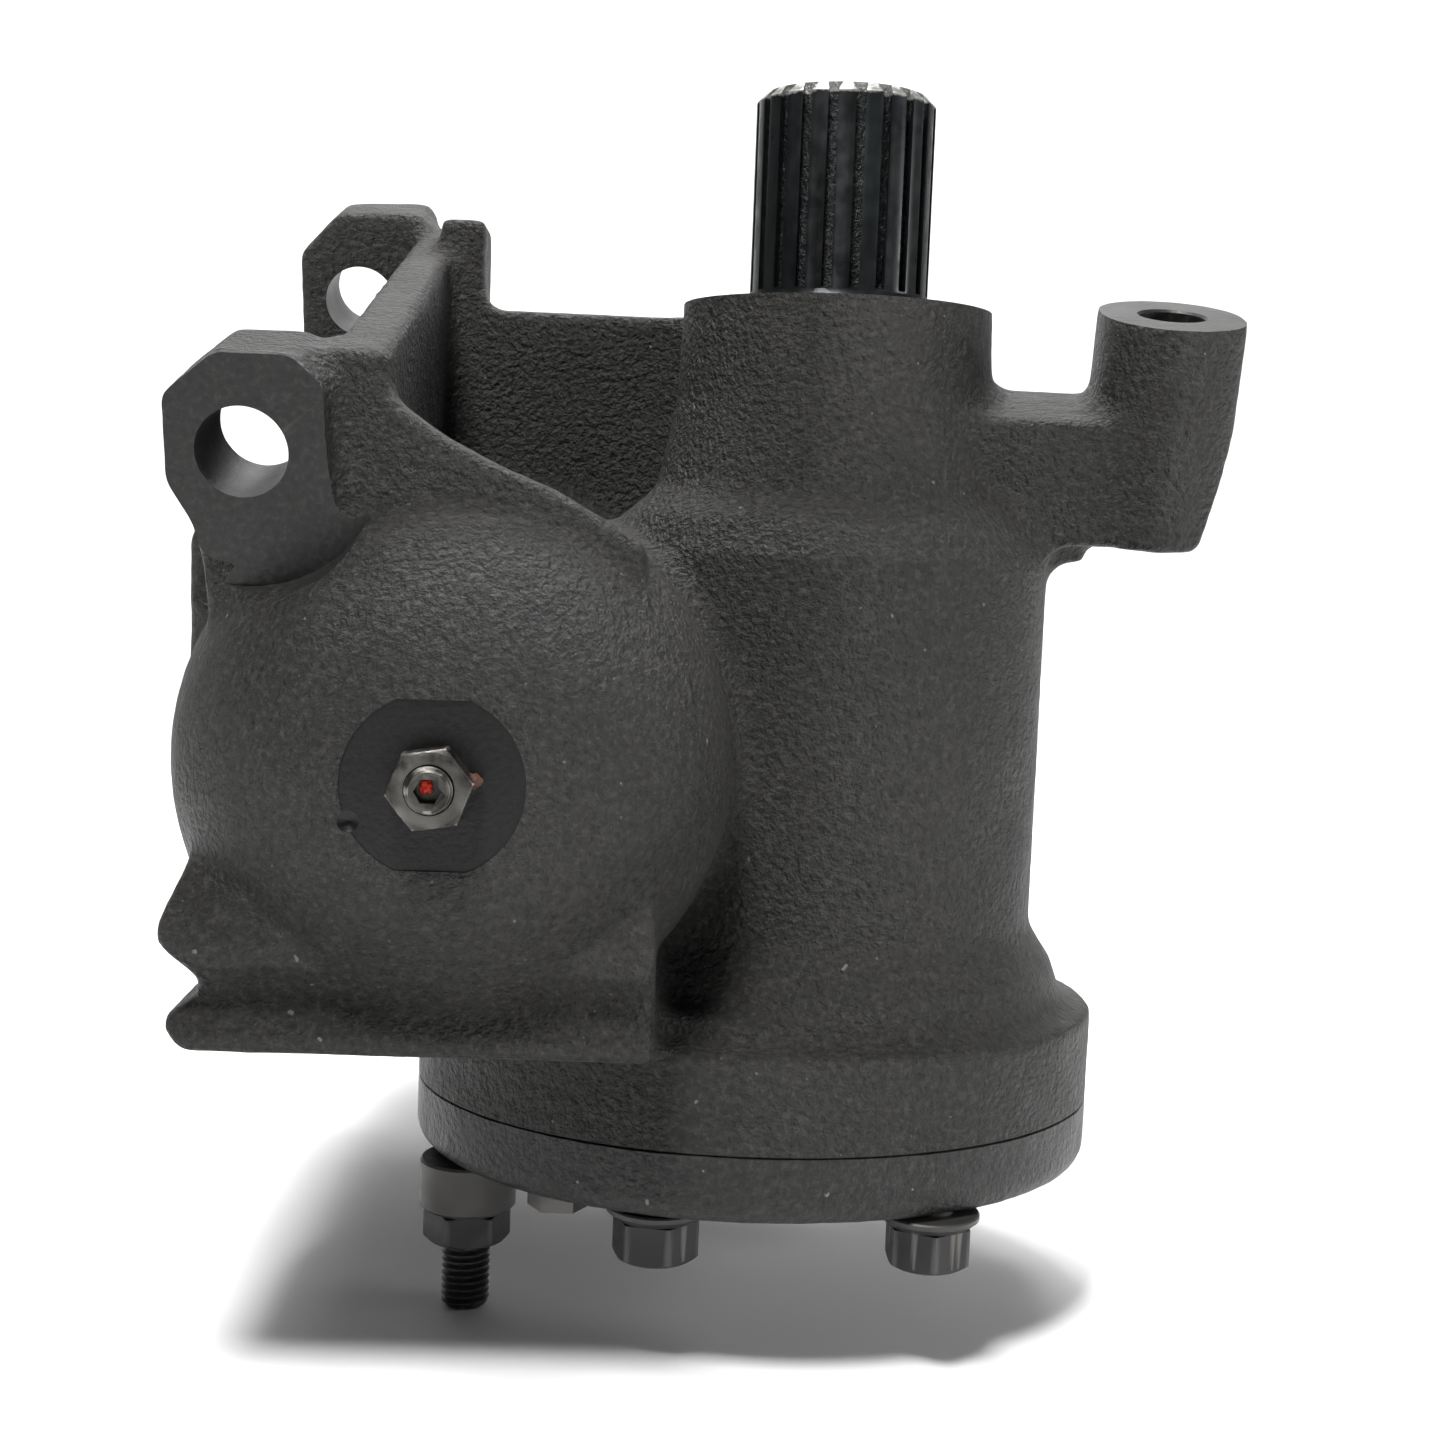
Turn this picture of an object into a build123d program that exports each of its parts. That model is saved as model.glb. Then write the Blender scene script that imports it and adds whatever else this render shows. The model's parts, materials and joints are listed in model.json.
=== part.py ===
from build123d import *
from math import acos, asin, cos, degrees, pi, radians, sin, sqrt, tan
import os

os.makedirs("parts", exist_ok=True)

# Integral hydraulic steering gear: a rack piston in a horizontal power cylinder turns a
# toothed sector on a vertical splined output shaft.
#
# Millimetres. The origin is on the output shaft's axis, level with the top of the boss
# that the shaft leaves by. +Z points along the shaft out of the housing. The power
# cylinder lies along Y on the -X side: its closed dome faces -Y, its valve end +Y.

# ---------------------------------------------------------------- driving dimensions
CLEAR = 0.05                # radial clearance of running fits and of screws in holes

SPLINE_R = 22.5             # output spline, outside radius
SPLINE_TOP = 52.5           # end face of the output shaft above the boss
SPLINE_TEETH = 21
SPLINE_DEPTH = 2.3
SPLINE_CHAMFER = 2.3

BOSS_R = 39.2               # top boss round the shaft
NECK_R = 44.5
NECK_Z = -46                # where the neck meets the shoulder
BARREL_R = 56
SHOULDER_Z = -62            # where the shoulder meets the barrel
CAVITY_R = 49               # inside of the barrel, round the sector

JOINT_Z = -197.4            # parting plane of housing and side cover
FLANGE_TOP_Z = -174
FLANGE_X = -14              # centre of the oval flange
FLANGE_A = 87
FLANGE_B = 74.5
COVER_T = 17
COVER_Z = JOINT_Z - COVER_T

CYL_X = -88.5               # axis of the power cylinder
CYL_Z = -111
CYL_R = 64
BORE_R = 50
BACK_Y = 106                # joint face of the valve housing
DOME_Y = -106               # tip of the dome
CROWN_R = 90
CORNER_R = 48
SPOT_Y = -103.2             # machined face round the limit screw
SPOT_R = 19.4
SPOT_HALF = 17.9            # its flat top and bottom edges lie this far from the axis

TILT = 16.3                 # the mounting bores lean this far about X
LUG_X = -133
NEAR_LUG = (LUG_X, -82, -43.5)      # centre of the near lug's machined face
FAR_LUG = (LUG_X, 86, 5.9)          # centre of the far lug's near face
LUG_T = 28
LUG_BORE_R = 10
ARM_LUG = (80.4, -20.7, 0)          # centre of the arm lug's machined face
ARM_LUG_R = 17.8
ARM_BORE_R = 8
ARM_LUG_T = 55.5
ARM_TOP = -23.5             # top of the arm below the lug's machined face

MODULE = 4.4                # rack and sector teeth
TEETH_ROUND = 20            # teeth that a full circle would have
PITCH_R = MODULE * TEETH_ROUND / 2
PRESSURE = radians(20)
FLANK_GAP = 0.12            # backlash left on each flank
SECTOR_TEETH = 5
SECTOR_Z = (-131, -91)

LEAD = 15                   # ball screw
BALL_R = 3.5
BALL_CIRCLE_R = 15.8
GROOVE_R = 3.65
WORM_R = 14.2
NUT_R = 17.4
WORM_START_Y = -12
WORM_TURNS = 6
NUT_START_Y = WORM_START_Y + 2 * LEAD
NUT_TURNS = 2
BALLS = 27

PISTON_Y = (-60, 54)
PISTON_R = BORE_R - CLEAR
RACK_HALF = 47              # the rack's flat runs this far each way

COVER_BOLTS = [(58, 18), (26, 56), (26, -56), (-38.5, 56), (-38.5, -56), (-85, 22)]
STUD = (-85.5, -25)
PLUG = (-62, -45)
M12_R = 6
M10_R = 5

# ------------------------------------------------------------------ planes and axes
c, s = cos(radians(TILT)), sin(radians(TILT))
CYL_AXIS = Axis((CYL_X, 0, CYL_Z), (0, 1, 0))
CYL_SECTION = Plane(origin=(CYL_X, 0, CYL_Z), x_dir=(0, 1, 0), z_dir=(1, 0, 0))
NEAR_FACE = Plane(origin=NEAR_LUG, x_dir=(1, 0, 0), z_dir=(0, -c, -s))
FAR_FACE = Plane(origin=FAR_LUG, x_dir=(1, 0, 0), z_dir=(0, -c, -s))
ARM_FACE = Plane(origin=ARM_LUG, x_dir=(1, 0, 0), z_dir=(0, -s, c))


def across(y, x=CYL_X, z=CYL_Z):
    """A plane square to the power cylinder, facing the dome end, with its local y up."""
    return Plane(origin=(x, y, z), x_dir=(1, 0, 0), z_dir=(0, -1, 0))


def level(z, x=0, y=0):
    """A plane square to the output shaft."""
    return Plane(origin=(x, y, z), x_dir=(1, 0, 0), z_dir=(0, 0, 1))


def outline(plane, points):
    """A closed straight-sided outline."""
    with BuildSketch(plane) as shape:
        with BuildLine():
            Polyline(*points, close=True)
        make_face()
    return shape.sketch


def soft_outline(plane, points, radius):
    """A closed outline whose corners are all rounded."""
    with BuildSketch(plane) as shape:
        with BuildLine():
            FilletPolyline(*points, radius=radius, close=True)
        make_face()
    return shape.sketch


def disc(plane, radius, hole=0):
    """A round outline, with a round hole where one is given."""
    with BuildSketch(plane) as shape:
        Circle(radius)
        if hole:
            Circle(hole, mode=Mode.SUBTRACT)
    return shape.sketch


def hexagon(plane, across_flats, turn=0, hole=0):
    """A hexagon for a nut or a bolt head."""
    with BuildSketch(plane) as shape:
        RegularPolygon(across_flats / 2, 6, major_radius=False, rotation=turn)
        if hole:
            Circle(hole, mode=Mode.SUBTRACT)
    return shape.sketch


def oval(plane, grow=0):
    """The outline of the flange and its cover."""
    with BuildSketch(plane) as shape:
        with Locations((FLANGE_X, 0)):
            Ellipse(FLANGE_A + grow, FLANGE_B + grow)
    return shape.sketch


def ring(section, axis, low, high, inner, outer):
    """The outline of a plain ring, to revolve about the axis its section plane holds."""
    along = [(low, inner), (high, inner), (high, outer), (low, outer)]
    points = along if axis is CYL_AXIS else [(r, z) for z, r in along]
    return outline(section, points)


def cylinder_shell(radius, apex_y, crown_r, corner_r, end_y):
    """Half section of a round cylinder closed by a dome, as (along, radius)."""
    corner_at = radius - corner_r
    lean = asin(corner_at / (crown_r - corner_r))
    crown_y = apex_y + crown_r
    corner_y = crown_y - (crown_r - corner_r) * cos(lean)
    with BuildSketch(CYL_SECTION) as shape:
        with BuildLine():
            CenterArc((crown_y, 0), crown_r, 180 - degrees(lean), degrees(lean))
            CenterArc((corner_y, corner_at), corner_r, 90, 90 - degrees(lean))
            Polyline((corner_y, radius), (end_y, radius), (end_y, 0), (apex_y, 0))
        make_face()
    return shape.sketch


# ---------------------------------------------------------------------- gear housing
BEARING_R = 31              # bore of the boss, for the upper bearing and the seals
BOLT_REACH = 18             # depth of the cover's screws in the flange
VALVE_BOLT_R = 57           # bolt circle of the valve housing
VALVE_BOLTS = 6
SADDLE_Z = -76              # floor of the gap between the two left lugs
BLEED = (-75, 84)           # place of the bleed screw on the cylinder's top

barrel_profile = [
    (0, 0), (BOSS_R, 0), (BOSS_R + 1, -24), (NECK_R, NECK_Z), (NECK_R + 8, NECK_Z - 7),
    (BARREL_R, SHOULDER_Z), (BARREL_R, -154), (BARREL_R + 6, -163), (BARREL_R + 9, -172),
    (BARREL_R + 9, -185), (0, -185),
]
near_lug_outline = [
    (-16.5, -7), (-16.5, 12), (-5, 21.5), (11, 21.5), (18, 15), (19, -42), (-9, -42), (-11, -17),
]
far_lug_outline = [(-17.5, -40), (-17.5, 13), (-6, 25), (20, 26), (24, -40)]
web_outline = [(-77, -20.6), (90, 28), (100, 28), (104, -20), (104, -80), (-66, -80), (-77, -60)]
gusset_outline = [
    (-115, -21), (-102.4, -30), (-90.7, -38), (-79, -43.7), (-65.4, -49.1), (-46, -60),
    (-46, -80), (-115, -80),
]
ramp_outline = [(-52, -78), (-52, -58.5), (-30, -66), (0, -78)]
# the foot is a bar along X: its end outline, and its section with a shallow front groove
foot_outline = [
    (-142, -126), (-148.3, -145), (-148.3, -148.5), (-137, -158.8), (-147.3, -165.2),
    (-147.3, -168.6), (-142, -172.7), (-40.6, -172.7), (-40.6, -126),
]
foot_section = [
    (-28, -122), (-66, -127), (-80, -132), (-89, -140), (-92.5, -148), (-91.5, -154),
    (-86.5, -160.5), (-86, -163.5), (-89.5, -167), (-91.5, -169), (-91, -172.7), (-28, -172.7),
]
far_wall_outline = [(-106, 50), (-106, 62), (-30, 60), (-4, 50), (-4, 36), (-38, 47), (-45, 50)]
arm_outline = [(-60, -15), (0, -ARM_LUG_R), (0, ARM_LUG_R), (-60, 22)]
arm_slant = [(17.8, -25), (9.6, -56), (30, -56), (30, -25)]     # cut off the lug's outer side

with BuildPart() as gear_housing:
    revolve(outline(Plane.XZ, barrel_profile), axis=Axis.Z)
    extrude(oval(level(JOINT_Z)), amount=FLANGE_TOP_Z - JOINT_Z)
    extrude(oval(level(FLANGE_TOP_Z), grow=-9), amount=6)
    # power cylinder and its rear flange
    revolve(cylinder_shell(CYL_R, DOME_Y, CROWN_R, CORNER_R, BACK_Y), axis=CYL_AXIS)
    # saddle, lugs and web on the left
    with BuildSketch(Plane.XY.offset(SADDLE_Z)) as saddle:
        with Locations((-131, 28)):
            Rectangle(40, 156)
    extrude(amount=-35)
    extrude(soft_outline(NEAR_FACE, near_lug_outline, 3), amount=-LUG_T)
    extrude(soft_outline(FAR_FACE, far_lug_outline, 5), amount=-26)
    with BuildSketch(Plane.XY.offset(-12)) as far_pedestal:
        with Locations((-131, 95)):
            Rectangle(38, 22)
    extrude(amount=-80)
    extrude(outline(Plane.YZ.offset(-116), web_outline), amount=13)
    extrude(outline(Plane.XZ.offset(61), gusset_outline), amount=16)
    extrude(outline(Plane.YZ.offset(-151), ramp_outline), amount=36)
    # far wall of the pocket, and the block where it meets the web
    extrude(soft_outline(level(-80), far_wall_outline, 3), amount=82)
    with BuildSketch(Plane.XY.offset(-80)) as wall_block:
        with Locations((-100, 62)):
            Rectangle(13, 24)
    extrude(amount=106.5)
    # arm and lug on the right
    extrude(outline(ARM_FACE.offset(ARM_TOP), arm_outline), amount=-ARM_LUG_T - ARM_TOP)
    with BuildSketch(ARM_FACE) as arm_lug:
        SlotCenterToCenter(5, 2 * ARM_LUG_R, rotation=90)
    extrude(amount=-ARM_LUG_T)
    arm_side = Plane(origin=ARM_LUG, x_dir=(1, 0, 0), z_dir=(0, -c, -s))
    extrude(outline(arm_side, arm_slant), amount=30, both=True, mode=Mode.SUBTRACT)
    with BuildSketch(ARM_FACE.offset(-ARM_LUG_T)) as arm_web:
        with Locations((-28, 0)):
            Rectangle(24, 16)
    extrude(amount=-7)
    # foot with its V notch
    foot_end = extrude(outline(Plane.XZ.offset(100), foot_outline), amount=-80, mode=Mode.PRIVATE)
    foot_bar = extrude(outline(Plane.YZ.offset(-150), foot_section), amount=112, mode=Mode.PRIVATE)
    add(foot_end & foot_bar)

    # barrel cavity, bearing and seal bore
    cavity = [
        (0, 5), (BEARING_R, 5), (BEARING_R, -52), (CAVITY_R, -72), (CAVITY_R, -200), (0, -200),
    ]
    revolve(outline(Plane.XZ, cavity), axis=Axis.Z, mode=Mode.SUBTRACT)
    snap_groove = ring(Plane.XZ, Axis.Z, -7.2, -5.8, BEARING_R - 1, BEARING_R + 1.5)
    revolve(snap_groove, axis=Axis.Z, mode=Mode.SUBTRACT)
    # cylinder bore
    bore = [(-85, 0), (-85, 43), (-77, BORE_R), (BACK_Y + 1, BORE_R), (BACK_Y + 1, 0)]
    revolve(outline(CYL_SECTION, bore), axis=CYL_AXIS, mode=Mode.SUBTRACT)
    # limit screw hole and its spotface
    with BuildSketch(across(SPOT_Y)) as spotface:
        Circle(SPOT_R)
        Rectangle(3 * SPOT_R, 2 * SPOT_HALF, mode=Mode.INTERSECT)
    extrude(amount=10, mode=Mode.SUBTRACT)
    extrude(disc(across(SPOT_Y), M10_R + CLEAR), amount=-30, mode=Mode.SUBTRACT)
    # machined lug faces and bores
    extrude(disc(NEAR_FACE, 30), amount=20, mode=Mode.SUBTRACT)
    extrude(disc(NEAR_FACE, LUG_BORE_R), amount=-LUG_T - 5, mode=Mode.SUBTRACT)
    extrude(disc(FAR_FACE, LUG_BORE_R), amount=-40, mode=Mode.SUBTRACT)
    extrude(disc(ARM_FACE, ARM_BORE_R), amount=-ARM_LUG_T - 5, mode=Mode.SUBTRACT)
    # screw holes for the cover, the stud, the valve housing and the bleed screw
    with BuildSketch(level(JOINT_Z)) as cover_holes:
        with Locations(*COVER_BOLTS, STUD):
            Circle(M12_R + CLEAR)
    extrude(amount=BOLT_REACH + 1, mode=Mode.SUBTRACT)
    with BuildSketch(across(BACK_Y)) as valve_holes:
        with PolarLocations(VALVE_BOLT_R, VALVE_BOLTS, start_angle=30):
            Circle(M10_R + CLEAR)
    extrude(amount=22, mode=Mode.SUBTRACT)
    with BuildSketch(level(-40, *BLEED)) as bleed_hole:
        Circle(4 + CLEAR)
    extrude(amount=-19, mode=Mode.SUBTRACT)
gear_housing.part.label = "gear_housing"
export_step(gear_housing.part, "parts/gear_housing.step")

# ---------------------------------------------------------------- side cover and seals
LOWER_JOURNAL_R = 22
LOWER_CUP_R = 29            # outside of the lower bearing cup
NEEDLE_R = 1.7
CUP_WALL = 3.4
COVER_SPIGOT_Z = -142
COVER_FLOOR_Z = -191
ORING_IN, ORING_OUT = 50.2, 53.2

with BuildPart() as side_cover:
    extrude(oval(level(JOINT_Z - CLEAR)), amount=CLEAR - COVER_T)
    lower_rim = side_cover.faces().sort_by(Axis.Z)[0].edges()
    fillet(lower_rim, 5)
    extrude(disc(level(JOINT_Z - CLEAR), CAVITY_R - 2 * CLEAR), amount=COVER_SPIGOT_Z - JOINT_Z)
    extrude(disc(level(COVER_FLOOR_Z), LOWER_CUP_R + CLEAR), amount=80, mode=Mode.SUBTRACT)
    extrude(disc(level(COVER_Z - 1), M12_R + CLEAR), amount=40, mode=Mode.SUBTRACT)
    extrude(disc(level(JOINT_Z - 2.3), ORING_OUT, ORING_IN - 0.2), amount=5, mode=Mode.SUBTRACT)
    with BuildSketch(level(COVER_Z - 1)) as cover_bolt_holes:
        with Locations(*COVER_BOLTS, STUD):
            Circle(M12_R + CLEAR)
    extrude(amount=COVER_T + 2, mode=Mode.SUBTRACT)
    extrude(disc(level(COVER_Z - 1, *PLUG), M10_R + CLEAR), amount=10, mode=Mode.SUBTRACT)
side_cover.part.label = "side_cover"
export_step(side_cover.part, "parts/side_cover.step")

with BuildPart() as side_cover_seal:
    extrude(disc(level(JOINT_Z - 2.25), ORING_OUT - 0.1, ORING_IN), amount=2.1)
side_cover_seal.part.label = "side_cover_seal"
export_step(side_cover_seal.part, "parts/side_cover_seal.step")

BOLT_FLANGE_R = 12
BOLT_FLANGE_T = 3
BOLT_HEX = 18.2             # across flats
BOLT_HEAD_T = 13

with BuildPart() as side_cover_bolts:
    with BuildSketch(level(COVER_Z)) as bolt_flanges:
        with Locations(*COVER_BOLTS):
            Circle(BOLT_FLANGE_R)
    extrude(amount=-BOLT_FLANGE_T)
    with BuildSketch(level(COVER_Z - BOLT_FLANGE_T)) as bolt_heads:
        with Locations(*COVER_BOLTS):
            RegularPolygon(BOLT_HEX / 2, 6, major_radius=False)
    extrude(amount=BOLT_FLANGE_T - BOLT_HEAD_T)
    with BuildSketch(level(COVER_Z)) as bolt_shanks:
        with Locations(*COVER_BOLTS):
            Circle(M12_R)
    extrude(amount=COVER_T + BOLT_REACH)
side_cover_bolts.part.label = "side_cover_bolts"
export_step(side_cover_bolts.part, "parts/side_cover_bolts.step")

STUD_END_Z = -252.5
STUD_FREE_Z = -236.4        # the free thread starts here, clear of the nut
STUD_FREE_R = 5.8
STUD_RELIEF_T, STUD_RELIEF_R = 0.8, 5.2
COLLAR_T = 12.5
STUD_NUT_T = 8.5
STUD_NUT_HEX = 19

with BuildPart() as cover_stud:
    thread_z = STUD_FREE_Z + STUD_RELIEF_T
    extrude(disc(level(thread_z, *STUD), M12_R), amount=JOINT_Z + BOLT_REACH - thread_z)
    extrude(disc(level(STUD_FREE_Z, *STUD), STUD_RELIEF_R), amount=STUD_RELIEF_T)
    extrude(disc(level(STUD_END_Z, *STUD), STUD_FREE_R), amount=STUD_FREE_Z - STUD_END_Z)
    chamfer(cover_stud.faces().sort_by(Axis.Z)[0].edges(), 1.5)
cover_stud.part.label = "cover_stud"
export_step(cover_stud.part, "parts/cover_stud.step")

with BuildPart() as stud_collar:
    extrude(disc(level(COVER_Z, *STUD), BOLT_FLANGE_R, M12_R + CLEAR), amount=-COLLAR_T)
stud_collar.part.label = "stud_collar"
export_step(stud_collar.part, "parts/stud_collar.step")

with BuildPart() as stud_nut:
    nut_top = level(COVER_Z - COLLAR_T, *STUD)
    extrude(hexagon(nut_top, STUD_NUT_HEX, hole=M12_R + CLEAR), amount=-STUD_NUT_T)
stud_nut.part.label = "stud_nut"
export_step(stud_nut.part, "parts/stud_nut.step")

with BuildPart() as cover_plug:
    extrude(hexagon(level(COVER_Z, *PLUG), 13), amount=-5)
    extrude(disc(level(COVER_Z, *PLUG), M10_R), amount=8)
cover_plug.part.label = "cover_plug"
export_step(cover_plug.part, "parts/cover_plug.step")

# ----------------------------------------------------------- output shaft and bearings
UPPER_JOURNAL_R = 24
UPPER_CUP = (-50, -16)
LOWER_CUP = (-188, -146)
NEEDLES = 30
SHAFT_END_Z = -188
HEAD_POCKET_R = 9
SPLINE_FOOT_Z = 3

pitch_half = pi / (2 * TEETH_ROUND) - FLANK_GAP / (2 * PITCH_R)
base_r = PITCH_R * cos(PRESSURE)
tip_r = PITCH_R + 0.95 * MODULE
root_r = PITCH_R - 1.25 * MODULE


def involute(angle):
    return tan(angle) - angle


def flank_point(radius, tooth_angle, side):
    """A point on one flank of a sector tooth; side is -1 or +1."""
    at = acos(base_r / max(radius, base_r))
    half = pitch_half + involute(PRESSURE) - involute(at)
    angle = pi + tooth_angle + side * half
    return (radius * cos(angle), radius * sin(angle))


flank_radii = [root_r] + [base_r + (tip_r - base_r) * step / 6 for step in range(7)]
sector_points = [(0, 0)]
for tooth in range(SECTOR_TEETH):
    tooth_angle = (tooth - (SECTOR_TEETH - 1) / 2) * 2 * pi / TEETH_ROUND
    sector_points += [flank_point(radius, tooth_angle, -1) for radius in flank_radii]
    sector_points += [flank_point(radius, tooth_angle, 1) for radius in reversed(flank_radii)]

with BuildPart() as sector_shaft:
    shaft_profile = [
        (0, SPLINE_TOP), (SPLINE_R - SPLINE_CHAMFER, SPLINE_TOP),
        (SPLINE_R, SPLINE_TOP - SPLINE_CHAMFER), (SPLINE_R, SPLINE_FOOT_Z),
        (UPPER_JOURNAL_R, 0), (UPPER_JOURNAL_R, -78), (30, -84), (30, -137),
        (LOWER_JOURNAL_R, -141), (LOWER_JOURNAL_R, SHAFT_END_Z), (0, SHAFT_END_Z),
    ]
    revolve(outline(Plane.XZ, shaft_profile), axis=Axis.Z)
    extrude(outline(level(SECTOR_Z[0]), sector_points), amount=SECTOR_Z[1] - SECTOR_Z[0])
    with BuildSketch(level(SPLINE_FOOT_Z + 0.5)) as spline_gaps:
        with PolarLocations(SPLINE_R - SPLINE_DEPTH / 2, SPLINE_TEETH):
            Trapezoid(3.7, SPLINE_DEPTH, 105, rotation=90)
    extrude(amount=60, mode=Mode.SUBTRACT)
    extrude(disc(level(SHAFT_END_Z), HEAD_POCKET_R), amount=9, mode=Mode.SUBTRACT)
    # centre drilling in the splined end
    extrude(disc(level(SPLINE_TOP), 3.5), amount=-12, mode=Mode.SUBTRACT)
sector_shaft.part.label = "sector_shaft"
export_step(sector_shaft.part, "parts/sector_shaft.step")

with BuildPart() as upper_bearing_cup:
    cup = ring(Plane.XZ, Axis.Z, *UPPER_CUP, BEARING_R - CUP_WALL, BEARING_R - CLEAR)
    revolve(cup, axis=Axis.Z)
upper_bearing_cup.part.label = "upper_bearing_cup"
export_step(upper_bearing_cup.part, "parts/upper_bearing_cup.step")

with BuildPart() as upper_needles:
    with BuildSketch(level(UPPER_CUP[0] + 1)) as upper_rollers:
        with PolarLocations((UPPER_JOURNAL_R + BEARING_R - CUP_WALL) / 2, NEEDLES):
            Circle(NEEDLE_R)
    extrude(amount=UPPER_CUP[1] - UPPER_CUP[0] - 2)
upper_needles.part.label = "upper_needles"
export_step(upper_needles.part, "parts/upper_needles.step")

with BuildPart() as lower_bearing_cup:
    lower_cup_in = LOWER_CUP_R - CUP_WALL
    revolve(ring(Plane.XZ, Axis.Z, *LOWER_CUP, lower_cup_in, LOWER_CUP_R - CLEAR), axis=Axis.Z)
lower_bearing_cup.part.label = "lower_bearing_cup"
export_step(lower_bearing_cup.part, "parts/lower_bearing_cup.step")

with BuildPart() as lower_needles:
    with BuildSketch(level(LOWER_CUP[0] + 1)) as lower_rollers:
        with PolarLocations((LOWER_JOURNAL_R + lower_cup_in) / 2, NEEDLES):
            Circle(NEEDLE_R)
    extrude(amount=LOWER_CUP[1] - LOWER_CUP[0] - 2)
lower_needles.part.label = "lower_needles"
export_step(lower_needles.part, "parts/lower_needles.step")

with BuildPart() as output_seal:
    lip = [
        (UPPER_JOURNAL_R + CLEAR, -9), (UPPER_JOURNAL_R + 2, -15), (BEARING_R - CLEAR, -15),
        (BEARING_R - CLEAR, -7.4), (UPPER_JOURNAL_R + 3, -7.4),
    ]
    revolve(outline(Plane.XZ, lip), axis=Axis.Z)
output_seal.part.label = "output_seal"
export_step(output_seal.part, "parts/output_seal.step")

with BuildPart() as seal_snap_ring:
    snap = ring(Plane.XZ, Axis.Z, -7.1, -5.9, BEARING_R - 3, BEARING_R + 1.3)
    revolve(snap, axis=Axis.Z, revolution_arc=335)
seal_snap_ring.part.label = "seal_snap_ring"
export_step(seal_snap_ring.part, "parts/seal_snap_ring.step")

with BuildPart() as dust_seal:
    revolve(ring(Plane.XZ, Axis.Z, -5.7, -0.6, UPPER_JOURNAL_R + CLEAR, 30.9), axis=Axis.Z)
dust_seal.part.label = "dust_seal"
export_step(dust_seal.part, "parts/dust_seal.step")

# backlash adjuster: its head turns in the shaft's end, its thread in the cover
HEAD_T = 4
RETAINER_T = 3.8
ADJUSTER_END_Z = -236

with BuildPart() as backlash_screw:
    extrude(disc(level(ADJUSTER_END_Z), M12_R), amount=SHAFT_END_Z + 4.2 - ADJUSTER_END_Z)
    extrude(disc(level(SHAFT_END_Z + 4.2), HEAD_POCKET_R - 0.6), amount=HEAD_T)
    extrude(hexagon(level(ADJUSTER_END_Z), 6), amount=6, mode=Mode.SUBTRACT)
backlash_screw.part.label = "backlash_screw"
export_step(backlash_screw.part, "parts/backlash_screw.step")

with BuildPart() as backlash_screw_retainer:
    retainer = disc(level(SHAFT_END_Z), HEAD_POCKET_R - CLEAR, M12_R + 0.3)
    extrude(retainer, amount=RETAINER_T)
backlash_screw_retainer.part.label = "backlash_screw_retainer"
export_step(backlash_screw_retainer.part, "parts/backlash_screw_retainer.step")

with BuildPart() as backlash_lock_nut:
    extrude(hexagon(level(COVER_Z), STUD_NUT_HEX, hole=M12_R + CLEAR), amount=-10)
backlash_lock_nut.part.label = "backlash_lock_nut"
export_step(backlash_lock_nut.part, "parts/backlash_lock_nut.step")

# ------------------------------------------------------------ rack piston and ball screw
RING_GROOVE_Y = (-54.4, -51.2)
FRONT_WALL_Y = -50
VALVE_PIN_R = 4
GUIDE_Y = (NUT_START_Y + 2, NUT_START_Y + NUT_TURNS * LEAD - 2)
GUIDE_DEPTH = 34            # the guide's pocket reaches this near to the piston's axis

worm_groove = Helix(
    LEAD, LEAD * WORM_TURNS, BALL_CIRCLE_R, center=(CYL_X, WORM_START_Y, CYL_Z), direction=(0, 1, 0)
)
nut_groove = Helix(
    LEAD, LEAD * NUT_TURNS, BALL_CIRCLE_R, center=(CYL_X, NUT_START_Y, CYL_Z), direction=(0, 1, 0)
)


def groove_tool(path):
    """The round bar that cuts a ball groove along a helix."""
    start = Plane(origin=path @ 0, z_dir=path % 0)
    return sweep(disc(start, GROOVE_R), path=path, is_frenet=True, mode=Mode.PRIVATE)


rack_pitch = pi * MODULE
rack_spaces = []
for space in range(SECTOR_TEETH):
    centre_y = (space - (SECTOR_TEETH - 1) / 2) * rack_pitch
    root_half, mouth_half = [
        rack_pitch / 4 + FLANK_GAP / 2 + reach * tan(PRESSURE) for reach in (-1.25 * MODULE, 9)
    ]
    root_x, mouth_x = -PITCH_R - 1.25 * MODULE, -PITCH_R + 9
    rack_spaces.append([
        (root_x, centre_y - root_half), (mouth_x, centre_y - mouth_half),
        (mouth_x, centre_y + mouth_half), (root_x, centre_y + root_half),
    ])

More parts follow.
